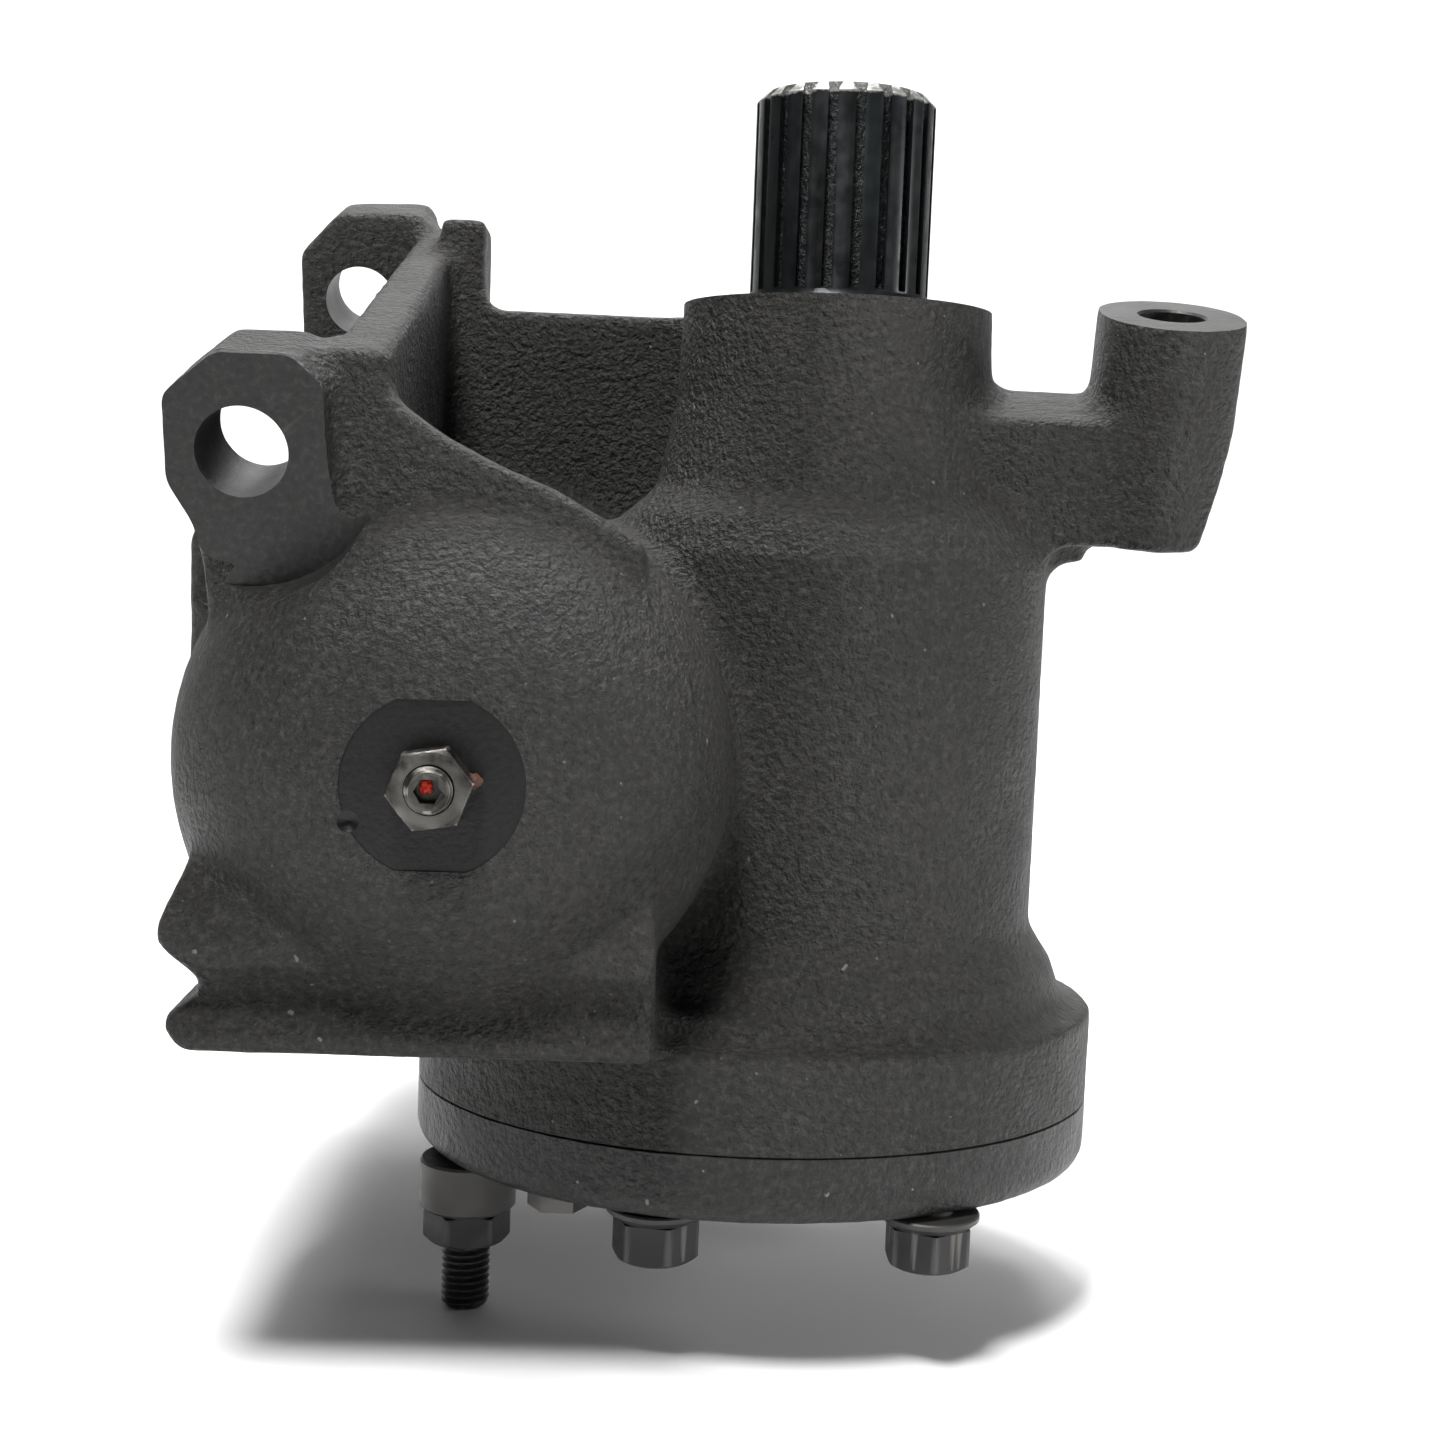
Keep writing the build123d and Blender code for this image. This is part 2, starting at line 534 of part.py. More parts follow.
with BuildPart() as rack_piston:
    body = [
        (PISTON_Y[0], 0), (PISTON_Y[0], PISTON_R - 6), (PISTON_Y[0] + 5, PISTON_R),
        (PISTON_Y[1] - 2, PISTON_R), (PISTON_Y[1], PISTON_R - 2), (PISTON_Y[1], 0),
    ]
    revolve(outline(CYL_SECTION, body), axis=CYL_AXIS)
    groove = ring(CYL_SECTION, CYL_AXIS, *RING_GROOVE_Y, PISTON_R - 5, PISTON_R + 1)
    revolve(groove, axis=CYL_AXIS, mode=Mode.SUBTRACT)
    revolve(
        ring(CYL_SECTION, CYL_AXIS, FRONT_WALL_Y, PISTON_Y[1] + 1, 0, NUT_R),
        axis=CYL_AXIS, mode=Mode.SUBTRACT,
    )
    rack_face = [
        (-PITCH_R + 0.95 * MODULE, -RACK_HALF), (-PITCH_R + 20, -RACK_HALF),
        (-PITCH_R + 20, RACK_HALF), (-PITCH_R + 0.95 * MODULE, RACK_HALF),
    ]
    for profile in [rack_face, *rack_spaces]:
        extrude(outline(level(CYL_Z - 55), profile), amount=110, mode=Mode.SUBTRACT)
    add(groove_tool(nut_groove), mode=Mode.SUBTRACT)
    extrude(disc(across(PISTON_Y[0] - 1), VALVE_PIN_R + CLEAR), amount=-20, mode=Mode.SUBTRACT)
    # pocket and passages for the ball return guide, on the side away from the rack
    pocket_plane = Plane(origin=(CYL_X - GUIDE_DEPTH, 0, CYL_Z), x_dir=(0, 1, 0), z_dir=(-1, 0, 0))
    with BuildSketch(pocket_plane) as guide_pocket:
        with Locations(((GUIDE_Y[0] + GUIDE_Y[1]) / 2, 0)):
            Rectangle(38, 26)
    extrude(amount=30, mode=Mode.SUBTRACT)
    with BuildSketch(pocket_plane) as guide_legs:
        with Locations((GUIDE_Y[0], 0), (GUIDE_Y[1], 0)):
            Circle(BALL_R + 0.75)
    extrude(amount=-18, mode=Mode.SUBTRACT)
rack_piston.part.label = "rack_piston"
export_step(rack_piston.part, "parts/rack_piston.step")

with BuildPart() as piston_seal_ring:
    seal_y = (RING_GROOVE_Y[0] + 0.1, RING_GROOVE_Y[1] - 0.1)
    revolve(ring(CYL_SECTION, CYL_AXIS, *seal_y, PISTON_R - 2.3, PISTON_R), axis=CYL_AXIS)
piston_seal_ring.part.label = "piston_seal_ring"
export_step(piston_seal_ring.part, "parts/piston_seal_ring.step")

with BuildPart() as piston_expander_ring:
    expander_y = (RING_GROOVE_Y[0] + 0.3, RING_GROOVE_Y[1] - 0.3)
    expander = ring(CYL_SECTION, CYL_AXIS, *expander_y, PISTON_R - 4.9, PISTON_R - 2.4)
    revolve(expander, axis=CYL_AXIS)
piston_expander_ring.part.label = "piston_expander_ring"
export_step(piston_expander_ring.part, "parts/piston_expander_ring.step")

with BuildPart() as ball_train:
    with Locations(*[nut_groove @ ((ball + 0.5) / BALLS) for ball in range(BALLS)]):
        Sphere(BALL_R)
ball_train.part.label = "ball_train"
export_step(ball_train.part, "parts/ball_train.step")

GUIDE_TUBE_R = BALL_R + 0.7
GUIDE_TOP_X = CYL_X - GUIDE_DEPTH - GUIDE_TUBE_R - 1
GUIDE_FOOT_X = CYL_X - BALL_CIRCLE_R - BALL_R - 1.2

with BuildPart() as ball_return_guide:
    with BuildLine() as guide_route:
        FilletPolyline(
            (GUIDE_FOOT_X, GUIDE_Y[0], CYL_Z), (GUIDE_TOP_X, GUIDE_Y[0], CYL_Z),
            (GUIDE_TOP_X, GUIDE_Y[1], CYL_Z), (GUIDE_FOOT_X, GUIDE_Y[1], CYL_Z),
            radius=4.9,
        )
    guide_end = Plane(origin=guide_route.line @ 0, z_dir=guide_route.line % 0)
    sweep(disc(guide_end, GUIDE_TUBE_R), path=guide_route.line)
ball_return_guide.part.label = "ball_return_guide"
export_step(ball_return_guide.part, "parts/ball_return_guide.step")

clamp_plane = Plane(
    origin=(GUIDE_TOP_X - GUIDE_TUBE_R - 0.05, sum(GUIDE_Y) / 2, CYL_Z),
    x_dir=(0, 1, 0), z_dir=(-1, 0, 0),
)
floor_gap = CYL_X - GUIDE_DEPTH - clamp_plane.origin.X

with BuildPart() as guide_clamp:
    with BuildSketch(clamp_plane) as clamp_strap:
        Rectangle(16, 24)
    extrude(amount=1.5)
    # two feet carry the strap down to the pocket's floor
    with BuildSketch(clamp_plane) as clamp_feet:
        with Locations((0, 9), (0, -9)):
            Rectangle(16, 6)
    extrude(amount=0.05 - floor_gap)
    with BuildSketch(clamp_plane) as clamp_holes:
        with Locations((0, 9), (0, -9)):
            Circle(2 + CLEAR)
    extrude(amount=40, both=True, mode=Mode.SUBTRACT)
guide_clamp.part.label = "guide_clamp"
export_step(guide_clamp.part, "parts/guide_clamp.step")

with BuildPart() as guide_clamp_screws:
    strap_top = clamp_plane.offset(1.55)
    with BuildSketch(strap_top) as clamp_screw_heads:
        with Locations((0, 9), (0, -9)):
            RegularPolygon(2.9, 6, major_radius=False)
    extrude(amount=2)
    with BuildSketch(strap_top) as clamp_screw_shanks:
        with Locations((0, 9), (0, -9)):
            Circle(2)
    extrude(amount=-1.5 - floor_gap)
guide_clamp_screws.part.label = "guide_clamp_screws"
export_step(guide_clamp_screws.part, "parts/guide_clamp_screws.step")

# limiting valve in the piston's front wall, opened by the limit screw at the end of travel
POPPET_HEAD_Y = (-49.9, -47)
SPRING_END_Y = -40
SPRING_R = 5.5
SPRING_WIRE_R = 0.6
SPRING_COILS = 4
SEAT_T = 2

with BuildPart() as limit_valve_poppet:
    poppet = [
        (-60.4, 0), (-60.4, VALVE_PIN_R - 1), (-59.4, VALVE_PIN_R - 0.1),
        (POPPET_HEAD_Y[0], VALVE_PIN_R - 0.1), (POPPET_HEAD_Y[0], 7.5),
        (POPPET_HEAD_Y[1], 7.5), (POPPET_HEAD_Y[1], 0),
    ]
    revolve(outline(CYL_SECTION, poppet), axis=CYL_AXIS)
limit_valve_poppet.part.label = "limit_valve_poppet"
export_step(limit_valve_poppet.part, "parts/limit_valve_poppet.step")

with BuildPart() as limit_valve_spring:
    spring_length = SPRING_END_Y - POPPET_HEAD_Y[1] - 2 * SPRING_WIRE_R - 0.2
    spring_start = (CYL_X, POPPET_HEAD_Y[1] + SPRING_WIRE_R + 0.1, CYL_Z)
    coil = Helix(
        spring_length / SPRING_COILS, spring_length, SPRING_R, center=spring_start,
        direction=(0, 1, 0),
    )
    wire_end = Plane(origin=coil @ 0, z_dir=coil % 0)
    sweep(disc(wire_end, SPRING_WIRE_R), path=coil, is_frenet=True)
limit_valve_spring.part.label = "limit_valve_spring"
export_step(limit_valve_spring.part, "parts/limit_valve_spring.step")

with BuildPart() as limit_valve_seat:
    seat_y = (SPRING_END_Y, SPRING_END_Y + SEAT_T)
    seat = ring(CYL_SECTION, CYL_AXIS, *seat_y, 2.5, NUT_R - CLEAR)
    revolve(seat, axis=CYL_AXIS)
limit_valve_seat.part.label = "limit_valve_seat"
export_step(limit_valve_seat.part, "parts/limit_valve_seat.step")

# limit screw in the dome
LIMIT_SCREW_Y = (-112.6, -81.6)
LIMIT_NUT_T = 7
LIMIT_NUT_HEX = 16

with BuildPart() as limit_screw:
    extrude(disc(across(LIMIT_SCREW_Y[1]), M10_R), amount=LIMIT_SCREW_Y[1] - LIMIT_SCREW_Y[0])
    chamfer(limit_screw.faces().sort_by(Axis.Y)[0].edges(), 0.8)
    extrude(hexagon(across(LIMIT_SCREW_Y[0]), 5), amount=-5, mode=Mode.SUBTRACT)
limit_screw.part.label = "limit_screw"
export_step(limit_screw.part, "parts/limit_screw.step")

with BuildPart() as limit_lock_nut:
    extrude(hexagon(across(SPOT_Y), LIMIT_NUT_HEX, 9, hole=M10_R + CLEAR), amount=LIMIT_NUT_T)
limit_lock_nut.part.label = "limit_lock_nut"
export_step(limit_lock_nut.part, "parts/limit_lock_nut.step")

# ---------------------------------------------------------------------- valve housing
SPIGOT_Y = 88
VALVE_FLANGE_T = 14
VALVE_BODY_R = 42
VALVE_BODY_END = 172
NOSE_R = 26
NOSE_END = 190
RETAINER_R = 30
THRUST_R = 27
SHOULDER_Y = 112            # the worm's rear thrust bearing bears here
SLEEVE_BORE_R = 23
INPUT_BORE_R = 17
PORTS_Y = (136, 160)
PORT_R = 8.2                # core of the M18 port threads
PORT_DEPTH = 14
PORT_FACE_Z = CYL_Z + 48
RELIEF_Y = 148

with BuildPart() as valve_housing:
    casting = [
        (SPIGOT_Y, 0), (SPIGOT_Y, BORE_R - CLEAR), (BACK_Y + CLEAR, BORE_R - CLEAR),
        (BACK_Y + CLEAR, CYL_R), (BACK_Y + VALVE_FLANGE_T, CYL_R),
        (BACK_Y + VALVE_FLANGE_T + 6, VALVE_BODY_R), (VALVE_BODY_END, VALVE_BODY_R),
        (VALVE_BODY_END + 6, NOSE_R), (NOSE_END, NOSE_R), (NOSE_END, 0),
    ]
    revolve(outline(CYL_SECTION, casting), axis=CYL_AXIS)
    with BuildSketch(level(CYL_Z + 20, CYL_X, 0)) as port_pads:
        with Locations(*[(0, port_y) for port_y in PORTS_Y]):
            Circle(15)
    extrude(amount=PORT_FACE_Z - CYL_Z - 20)
    relief_plane = Plane(
        origin=(CYL_X + 46, RELIEF_Y, CYL_Z), x_dir=(0, 1, 0), z_dir=(1, 0, 0)
    )
    extrude(disc(relief_plane, 13), amount=-20)
    bores = [
        (SPIGOT_Y - 1, 0), (SPIGOT_Y - 1, RETAINER_R), (SPIGOT_Y + 6.4, RETAINER_R),
        (SPIGOT_Y + 6.4, THRUST_R), (SHOULDER_Y, THRUST_R), (SHOULDER_Y, SLEEVE_BORE_R),
        (168, SLEEVE_BORE_R), (168, INPUT_BORE_R), (NOSE_END + 1, INPUT_BORE_R),
        (NOSE_END + 1, 0),
    ]
    revolve(outline(CYL_SECTION, bores), axis=CYL_AXIS, mode=Mode.SUBTRACT)
    for port_y in PORTS_Y:
        port = level(PORT_FACE_Z, CYL_X, port_y)
        extrude(disc(port, PORT_R), amount=-PORT_DEPTH, mode=Mode.SUBTRACT)
        extrude(disc(port, 4), amount=-30, mode=Mode.SUBTRACT)
    extrude(disc(relief_plane, 7 + CLEAR), amount=-16, mode=Mode.SUBTRACT)
    with BuildSketch(across(BACK_Y + 30)) as valve_bolt_room:
        with PolarLocations(VALVE_BOLT_R, VALVE_BOLTS, start_angle=30):
            Circle(11)
    extrude(amount=30 - VALVE_FLANGE_T, mode=Mode.SUBTRACT)
    with BuildSketch(across(BACK_Y + VALVE_FLANGE_T + 1)) as valve_bolt_holes:
        with PolarLocations(VALVE_BOLT_R, VALVE_BOLTS, start_angle=30):
            Circle(M10_R + CLEAR)
    extrude(amount=VALVE_FLANGE_T + 3, mode=Mode.SUBTRACT)
    gasket_groove = ring(CYL_SECTION, CYL_AXIS, 97, 100, BORE_R - 2.6, BORE_R + 1)
    revolve(gasket_groove, axis=CYL_AXIS, mode=Mode.SUBTRACT)
valve_housing.part.label = "valve_housing"
export_step(valve_housing.part, "parts/valve_housing.step")

with BuildPart() as valve_housing_seal:
    revolve(ring(CYL_SECTION, CYL_AXIS, 97.1, 99.9, BORE_R - 2.5, BORE_R - 0.02), axis=CYL_AXIS)
valve_housing_seal.part.label = "valve_housing_seal"
export_step(valve_housing_seal.part, "parts/valve_housing_seal.step")

with BuildPart() as valve_housing_bolts:
    head_seat = across(BACK_Y + VALVE_FLANGE_T)
    with BuildSketch(head_seat) as valve_bolt_heads:
        with PolarLocations(VALVE_BOLT_R, VALVE_BOLTS, start_angle=30):
            RegularPolygon(8, 6, major_radius=False)
    extrude(amount=-7)
    with BuildSketch(head_seat) as valve_bolt_shanks:
        with PolarLocations(VALVE_BOLT_R, VALVE_BOLTS, start_angle=30):
            Circle(M10_R)
    extrude(amount=VALVE_FLANGE_T + 20)
valve_housing_bolts.part.label = "valve_housing_bolts"
export_step(valve_housing_bolts.part, "parts/valve_housing_bolts.step")

with BuildPart() as relief_valve_plug:
    extrude(hexagon(relief_plane, 17), amount=6)
    extrude(disc(relief_plane, 7), amount=-14)
relief_valve_plug.part.label = "relief_valve_plug"
export_step(relief_valve_plug.part, "parts/relief_valve_plug.step")

with BuildPart() as bleed_screw:
    bleed_z = CYL_Z + sqrt(CYL_R**2 - (BLEED[0] - CYL_X) ** 2)
    extrude(disc(level(bleed_z - 9.5, *BLEED), 4), amount=11.3)
    extrude(hexagon(level(bleed_z + 1.8, *BLEED), 10), amount=5)
    extrude(disc(level(bleed_z + 6.8, *BLEED), 3), amount=4)
bleed_screw.part.label = "bleed_screw"
export_step(bleed_screw.part, "parts/bleed_screw.step")

# ----------------------------------------------------------- worm, rotary valve, input
WORM_FLANGE_Y = (99.2, 107)
WORM_FLANGE_R = 25
TORSION_R = 4
WASHER_T = 1
ROLLER_R = 1.35
ROLLERS = 18
CAGE_T = 1.6                # flat cage that holds the rollers
SLEEVE_Y = (114, 164)
SPOOL_R = 14
INPUT_R = 11
INPUT_END = 214
SERRATIONS = 36
SERRATED_Y = 194            # the serrations run from here to the end

with BuildPart() as worm_shaft:
    worm = [
        (WORM_START_Y - 4, 0), (WORM_START_Y - 4, WORM_R - 2), (WORM_START_Y - 2, WORM_R),
        (WORM_START_Y + LEAD * WORM_TURNS, WORM_R), (WORM_FLANGE_Y[0] - 12, WORM_R),
        (WORM_FLANGE_Y[0] - 12, 15.4), (WORM_FLANGE_Y[0], 15.4),
        (WORM_FLANGE_Y[0], WORM_FLANGE_R), (WORM_FLANGE_Y[1], WORM_FLANGE_R),
        (WORM_FLANGE_Y[1], 15.4), (SLEEVE_Y[0] - 0.3, 15.4), (SLEEVE_Y[0] - 0.3, 0),
    ]
    revolve(outline(CYL_SECTION, worm), axis=CYL_AXIS)
    add(groove_tool(worm_groove), mode=Mode.SUBTRACT)
    torsion_bore = ring(CYL_SECTION, CYL_AXIS, 20, 120, 0, TORSION_R + 0.3)
    revolve(torsion_bore, axis=CYL_AXIS, mode=Mode.SUBTRACT)
worm_shaft.part.label = "worm_shaft"
export_step(worm_shaft.part, "parts/worm_shaft.step")

thrust_sides = [(SPIGOT_Y + 6.6, WORM_FLANGE_Y[0] - 0.05), (WORM_FLANGE_Y[1] + 0.05, SHOULDER_Y)]

with BuildPart() as thrust_washers:
    for low, high in thrust_sides:
        for end in (low + WASHER_T, high):
            extrude(disc(across(end), THRUST_R - 0.3, 15.6), amount=WASHER_T)
thrust_washers.part.label = "thrust_washers"
export_step(thrust_washers.part, "parts/thrust_washers.step")

roller_room = min(high - low for low, high in thrust_sides) - 2 * WASHER_T
roller_r = min(ROLLER_R, roller_room / 2 - 0.02)

with BuildPart() as thrust_rollers:
    for low, high in thrust_sides:
        middle = (low + high) / 2
        extrude(disc(across(middle + CAGE_T / 2), 26, 16.8), amount=CAGE_T)
        for step in range(ROLLERS):
            turn = radians(step * 360 / ROLLERS + 7)
            spoke = Plane(
                origin=(CYL_X, middle, CYL_Z), x_dir=(0, 1, 0), z_dir=(sin(turn), 0, cos(turn))
            )
            extrude(disc(spoke.offset(17.5), roller_r), amount=7.5)
thrust_rollers.part.label = "thrust_rollers"
export_step(thrust_rollers.part, "parts/thrust_rollers.step")

with BuildPart() as worm_bearing_retainer:
    revolve(
        ring(CYL_SECTION, CYL_AXIS, SPIGOT_Y, SPIGOT_Y + 6.4, 16.5, RETAINER_R - CLEAR),
        axis=CYL_AXIS,
    )
    with BuildSketch(across(SPIGOT_Y)) as spanner_holes:
        with PolarLocations(23, 4):
            Circle(2.5)
    extrude(amount=-4, mode=Mode.SUBTRACT)
worm_bearing_retainer.part.label = "worm_bearing_retainer"
export_step(worm_bearing_retainer.part, "parts/worm_bearing_retainer.step")

SLEEVE_RINGS_Y = (116, 131, 146, 159)
SLEEVE_PORTS_Y = (124, 153)
SLEEVE_R = SLEEVE_BORE_R - CLEAR

with BuildPart() as valve_sleeve:
    revolve(ring(CYL_SECTION, CYL_AXIS, *SLEEVE_Y, SPOOL_R, SLEEVE_R), axis=CYL_AXIS)
    for ring_y in SLEEVE_RINGS_Y:
        sleeve_groove = ring(CYL_SECTION, CYL_AXIS, ring_y, ring_y + 2.5, SLEEVE_R - 2, 30)
        revolve(sleeve_groove, axis=CYL_AXIS, mode=Mode.SUBTRACT)
    for port_y in SLEEVE_PORTS_Y:
        annulus = ring(CYL_SECTION, CYL_AXIS, port_y, port_y + 4, SLEEVE_R - 2.5, 30)
        revolve(annulus, axis=CYL_AXIS, mode=Mode.SUBTRACT)
        drilling = level(CYL_Z, CYL_X, port_y + 2)
        extrude(disc(drilling, 1.6), amount=30, both=True, mode=Mode.SUBTRACT)
valve_sleeve.part.label = "valve_sleeve"
export_step(valve_sleeve.part, "parts/valve_sleeve.step")

with BuildPart() as sleeve_seal_rings:
    for ring_y in SLEEVE_RINGS_Y:
        seal = ring(CYL_SECTION, CYL_AXIS, ring_y + 0.1, ring_y + 2.4, SLEEVE_R - 1.9, SLEEVE_R)
        revolve(seal, axis=CYL_AXIS)
sleeve_seal_rings.part.label = "sleeve_seal_rings"
export_step(sleeve_seal_rings.part, "parts/sleeve_seal_rings.step")

with BuildPart() as torsion_bar:
    bar = [
        (22, 0), (22, TORSION_R), (40, TORSION_R), (46, 3), (176, 3), (182, TORSION_R),
        (200, TORSION_R), (200, 0),
    ]
    revolve(outline(CYL_SECTION, bar), axis=CYL_AXIS)
    pin_plane = level(CYL_Z, CYL_X, 31)
    extrude(disc(pin_plane, 2 + CLEAR), amount=10, both=True, mode=Mode.SUBTRACT)
torsion_bar.part.label = "torsion_bar"
export_step(torsion_bar.part, "parts/torsion_bar.step")

with BuildPart() as torsion_bar_pin:
    extrude(disc(pin_plane, 2), amount=TORSION_R - 0.4, both=True)
torsion_bar_pin.part.label = "torsion_bar_pin"
export_step(torsion_bar_pin.part, "parts/torsion_bar_pin.step")

with BuildPart() as input_shaft:
    spool = [
        (SLEEVE_Y[0] + 0.3, 0), (SLEEVE_Y[0] + 0.3, SPOOL_R - CLEAR), (166, SPOOL_R - CLEAR),
        (167, INPUT_R), (SERRATED_Y, INPUT_R), (INPUT_END - 1.5, INPUT_R),
        (INPUT_END, INPUT_R - 1.5), (INPUT_END, 0),
    ]
    revolve(outline(CYL_SECTION, spool), axis=CYL_AXIS)
    spool_bore = ring(CYL_SECTION, CYL_AXIS, 110, 204, 0, TORSION_R + 0.3)
    revolve(spool_bore, axis=CYL_AXIS, mode=Mode.SUBTRACT)
    with BuildSketch(across(SERRATED_Y)) as serration_gaps:
        with PolarLocations(INPUT_R, SERRATIONS):
            RegularPolygon(0.75, 3, rotation=180)
    extrude(amount=SERRATED_Y - INPUT_END - 1, mode=Mode.SUBTRACT)
    # groove for the pinch bolt of the column's joint
    pinch = ring(CYL_SECTION, CYL_AXIS, 201, 206, INPUT_R - 1.6, INPUT_R + 2)
    revolve(pinch, axis=CYL_AXIS, mode=Mode.SUBTRACT)
    # metering edges on the spool
    with BuildSketch(across(118)) as metering_slots:
        with PolarLocations(SPOOL_R, 6):
            Rectangle(2.4, 4)
    extrude(amount=-42, mode=Mode.SUBTRACT)
input_shaft.part.label = "input_shaft"
export_step(input_shaft.part, "parts/input_shaft.step")

with BuildPart() as input_bearing:
    bush = ring(CYL_SECTION, CYL_AXIS, 169, 177, INPUT_R + CLEAR, INPUT_BORE_R - CLEAR)
    revolve(bush, axis=CYL_AXIS)
input_bearing.part.label = "input_bearing"
export_step(input_bearing.part, "parts/input_bearing.step")

with BuildPart() as input_seal:
    input_lip = [
        (178, INPUT_R + CLEAR), (186, INPUT_R + 2), (186, INPUT_BORE_R - CLEAR),
        (178, INPUT_BORE_R - CLEAR),
    ]
    revolve(outline(CYL_SECTION, input_lip), axis=CYL_AXIS)
input_seal.part.label = "input_seal"
export_step(input_seal.part, "parts/input_seal.step")

with BuildPart() as input_dust_cover:
    cap = [
        (186.5, INPUT_R + 0.35), (193, INPUT_R + 0.35), (193, NOSE_R + 2), (180, NOSE_R + 2),
        (180, NOSE_R + 0.1), (190.2, NOSE_R + 0.1), (190.2, INPUT_R + 3), (186.5, INPUT_R + 2),
    ]
    revolve(outline(CYL_SECTION, cap), axis=CYL_AXIS)
input_dust_cover.part.label = "input_dust_cover"
export_step(input_dust_cover.part, "parts/input_dust_cover.step")
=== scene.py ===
import json
from math import cos, pi, radians, sin, tan

import bmesh
import bpy
import numpy as np
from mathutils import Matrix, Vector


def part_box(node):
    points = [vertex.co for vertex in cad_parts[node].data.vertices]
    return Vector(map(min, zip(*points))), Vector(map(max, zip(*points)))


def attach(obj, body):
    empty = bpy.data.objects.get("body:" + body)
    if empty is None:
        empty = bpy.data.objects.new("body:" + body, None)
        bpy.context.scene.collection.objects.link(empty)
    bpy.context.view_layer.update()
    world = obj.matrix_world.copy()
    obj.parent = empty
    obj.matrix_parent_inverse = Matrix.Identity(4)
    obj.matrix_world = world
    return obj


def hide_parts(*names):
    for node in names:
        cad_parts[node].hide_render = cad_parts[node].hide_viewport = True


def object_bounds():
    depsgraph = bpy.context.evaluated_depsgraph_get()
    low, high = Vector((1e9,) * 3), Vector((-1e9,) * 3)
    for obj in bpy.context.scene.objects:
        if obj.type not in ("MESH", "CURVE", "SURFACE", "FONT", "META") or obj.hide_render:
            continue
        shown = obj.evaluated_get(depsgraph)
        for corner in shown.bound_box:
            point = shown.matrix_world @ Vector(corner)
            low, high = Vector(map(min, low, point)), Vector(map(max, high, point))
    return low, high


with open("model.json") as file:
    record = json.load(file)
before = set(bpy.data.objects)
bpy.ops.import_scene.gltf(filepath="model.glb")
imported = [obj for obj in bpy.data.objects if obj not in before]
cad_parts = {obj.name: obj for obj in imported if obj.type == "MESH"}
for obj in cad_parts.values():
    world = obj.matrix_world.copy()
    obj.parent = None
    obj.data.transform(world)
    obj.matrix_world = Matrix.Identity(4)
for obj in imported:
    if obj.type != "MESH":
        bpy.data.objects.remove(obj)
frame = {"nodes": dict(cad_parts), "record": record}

import openvdb as vdb
from mathutils import Matrix, Vector, noise

CAD_BOX = [list(corner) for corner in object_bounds()]
NODES = frame["nodes"]
MM = 0.001


def span(node, axis):
    """Lowest and highest coordinate of a CAD node along one axis, 0 to 2."""
    low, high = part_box(node)
    return low[axis], high[axis]


# ------------------------------------------------------------- measures from the frame
X, Y, Z = 0, 1, 2
JOINT_Z = span("side_cover_seal", Z)[1] + 0.15 * MM        # parting plane of the side cover
COVER_LOW = span("stud_collar", Z)[1]
CYL_X = sum(span("rack_piston", X)) / 2
CYL_Z = sum(span("limit_screw", Z)) / 2
SPOT_Y = span("limit_lock_nut", Y)[1]                      # machined face under the lock nut
BACK_Y = span("valve_housing_bolts", Y)[0] + 20 * MM       # joint face of the valve housing
STUD = Vector((sum(span("cover_stud", X)) / 2, sum(span("cover_stud", Y)) / 2))

TILT = radians(16.3)                                       # lean of the lug bores about X
BORE_AXIS = Vector((0, cos(TILT), sin(TILT)))
ARM_AXIS = Vector((0, -sin(TILT), cos(TILT)))
NEAR_LUG = Vector((-133, -82, -43.5)) * MM                 # centres of the machined faces
FAR_LUG = Vector((-133, 86, 5.9)) * MM
ARM_LUG = Vector((80.4, -20.7, 0)) * MM
NEAR_OUTLINE = [
    (-16.5, -7), (-16.5, 12), (-5, 21.5), (11, 21.5), (18, 15), (19, -42), (-9, -42), (-11, -17),
]
FLANGE_X, FLANGE_A, FLANGE_B = -14 * MM, 87 * MM, 74.5 * MM

# ------------------------------------------------------------------------ solid shapes


def basis(axis):
    """A rotation that turns +Z onto an axis."""
    return Vector((0, 0, 1)).rotation_difference(Vector(axis)).to_matrix()


def turned(origin, axis, rows, steps=96, open_middle=False):
    """A closed solid built up of rings round an axis. Each row is the distance along the
    axis and the radius there in mm; a radius may be a function of the angle and the
    distance. With an open middle the last ring joins the first, as in a nut."""
    turn = basis(axis)
    points, faces = [], []
    for along, radius in rows:
        for step in range(steps):
            angle = 2 * pi * step / steps
            reach = radius(angle, along) if callable(radius) else radius
            local = Vector((reach * cos(angle), reach * sin(angle), along)) * MM
            points.append(Vector(origin) + turn @ local)
    count = len(rows)
    for row in range(count if open_middle else count - 1):
        below, above = row * steps, (row + 1) % count * steps
        for step in range(steps):
            beside = (step + 1) % steps
            faces.append((below + step, below + beside, above + beside, above + step))
    if not open_middle:
        faces.append(tuple(reversed(range(steps))))
        faces.append(tuple(range((count - 1) * steps, count * steps)))
    return points, faces


def rod(origin, axis, radius, low, high, steps=64):
    """A plain round solid between two distances along its axis, in mm."""
    return turned(origin, axis, [(low, radius), (high, radius)], steps)


def hexed(flats, turn=0.0):
    """The radius of a hexagon whose corners are cut by a cone of the given radius."""
    def trimmed(limit):
        def radius(angle, _):
            from_flat = (angle - turn) % (pi / 3) - pi / 6
            return min(flats / 2 / cos(from_flat), limit)
        return radius
    return trimmed


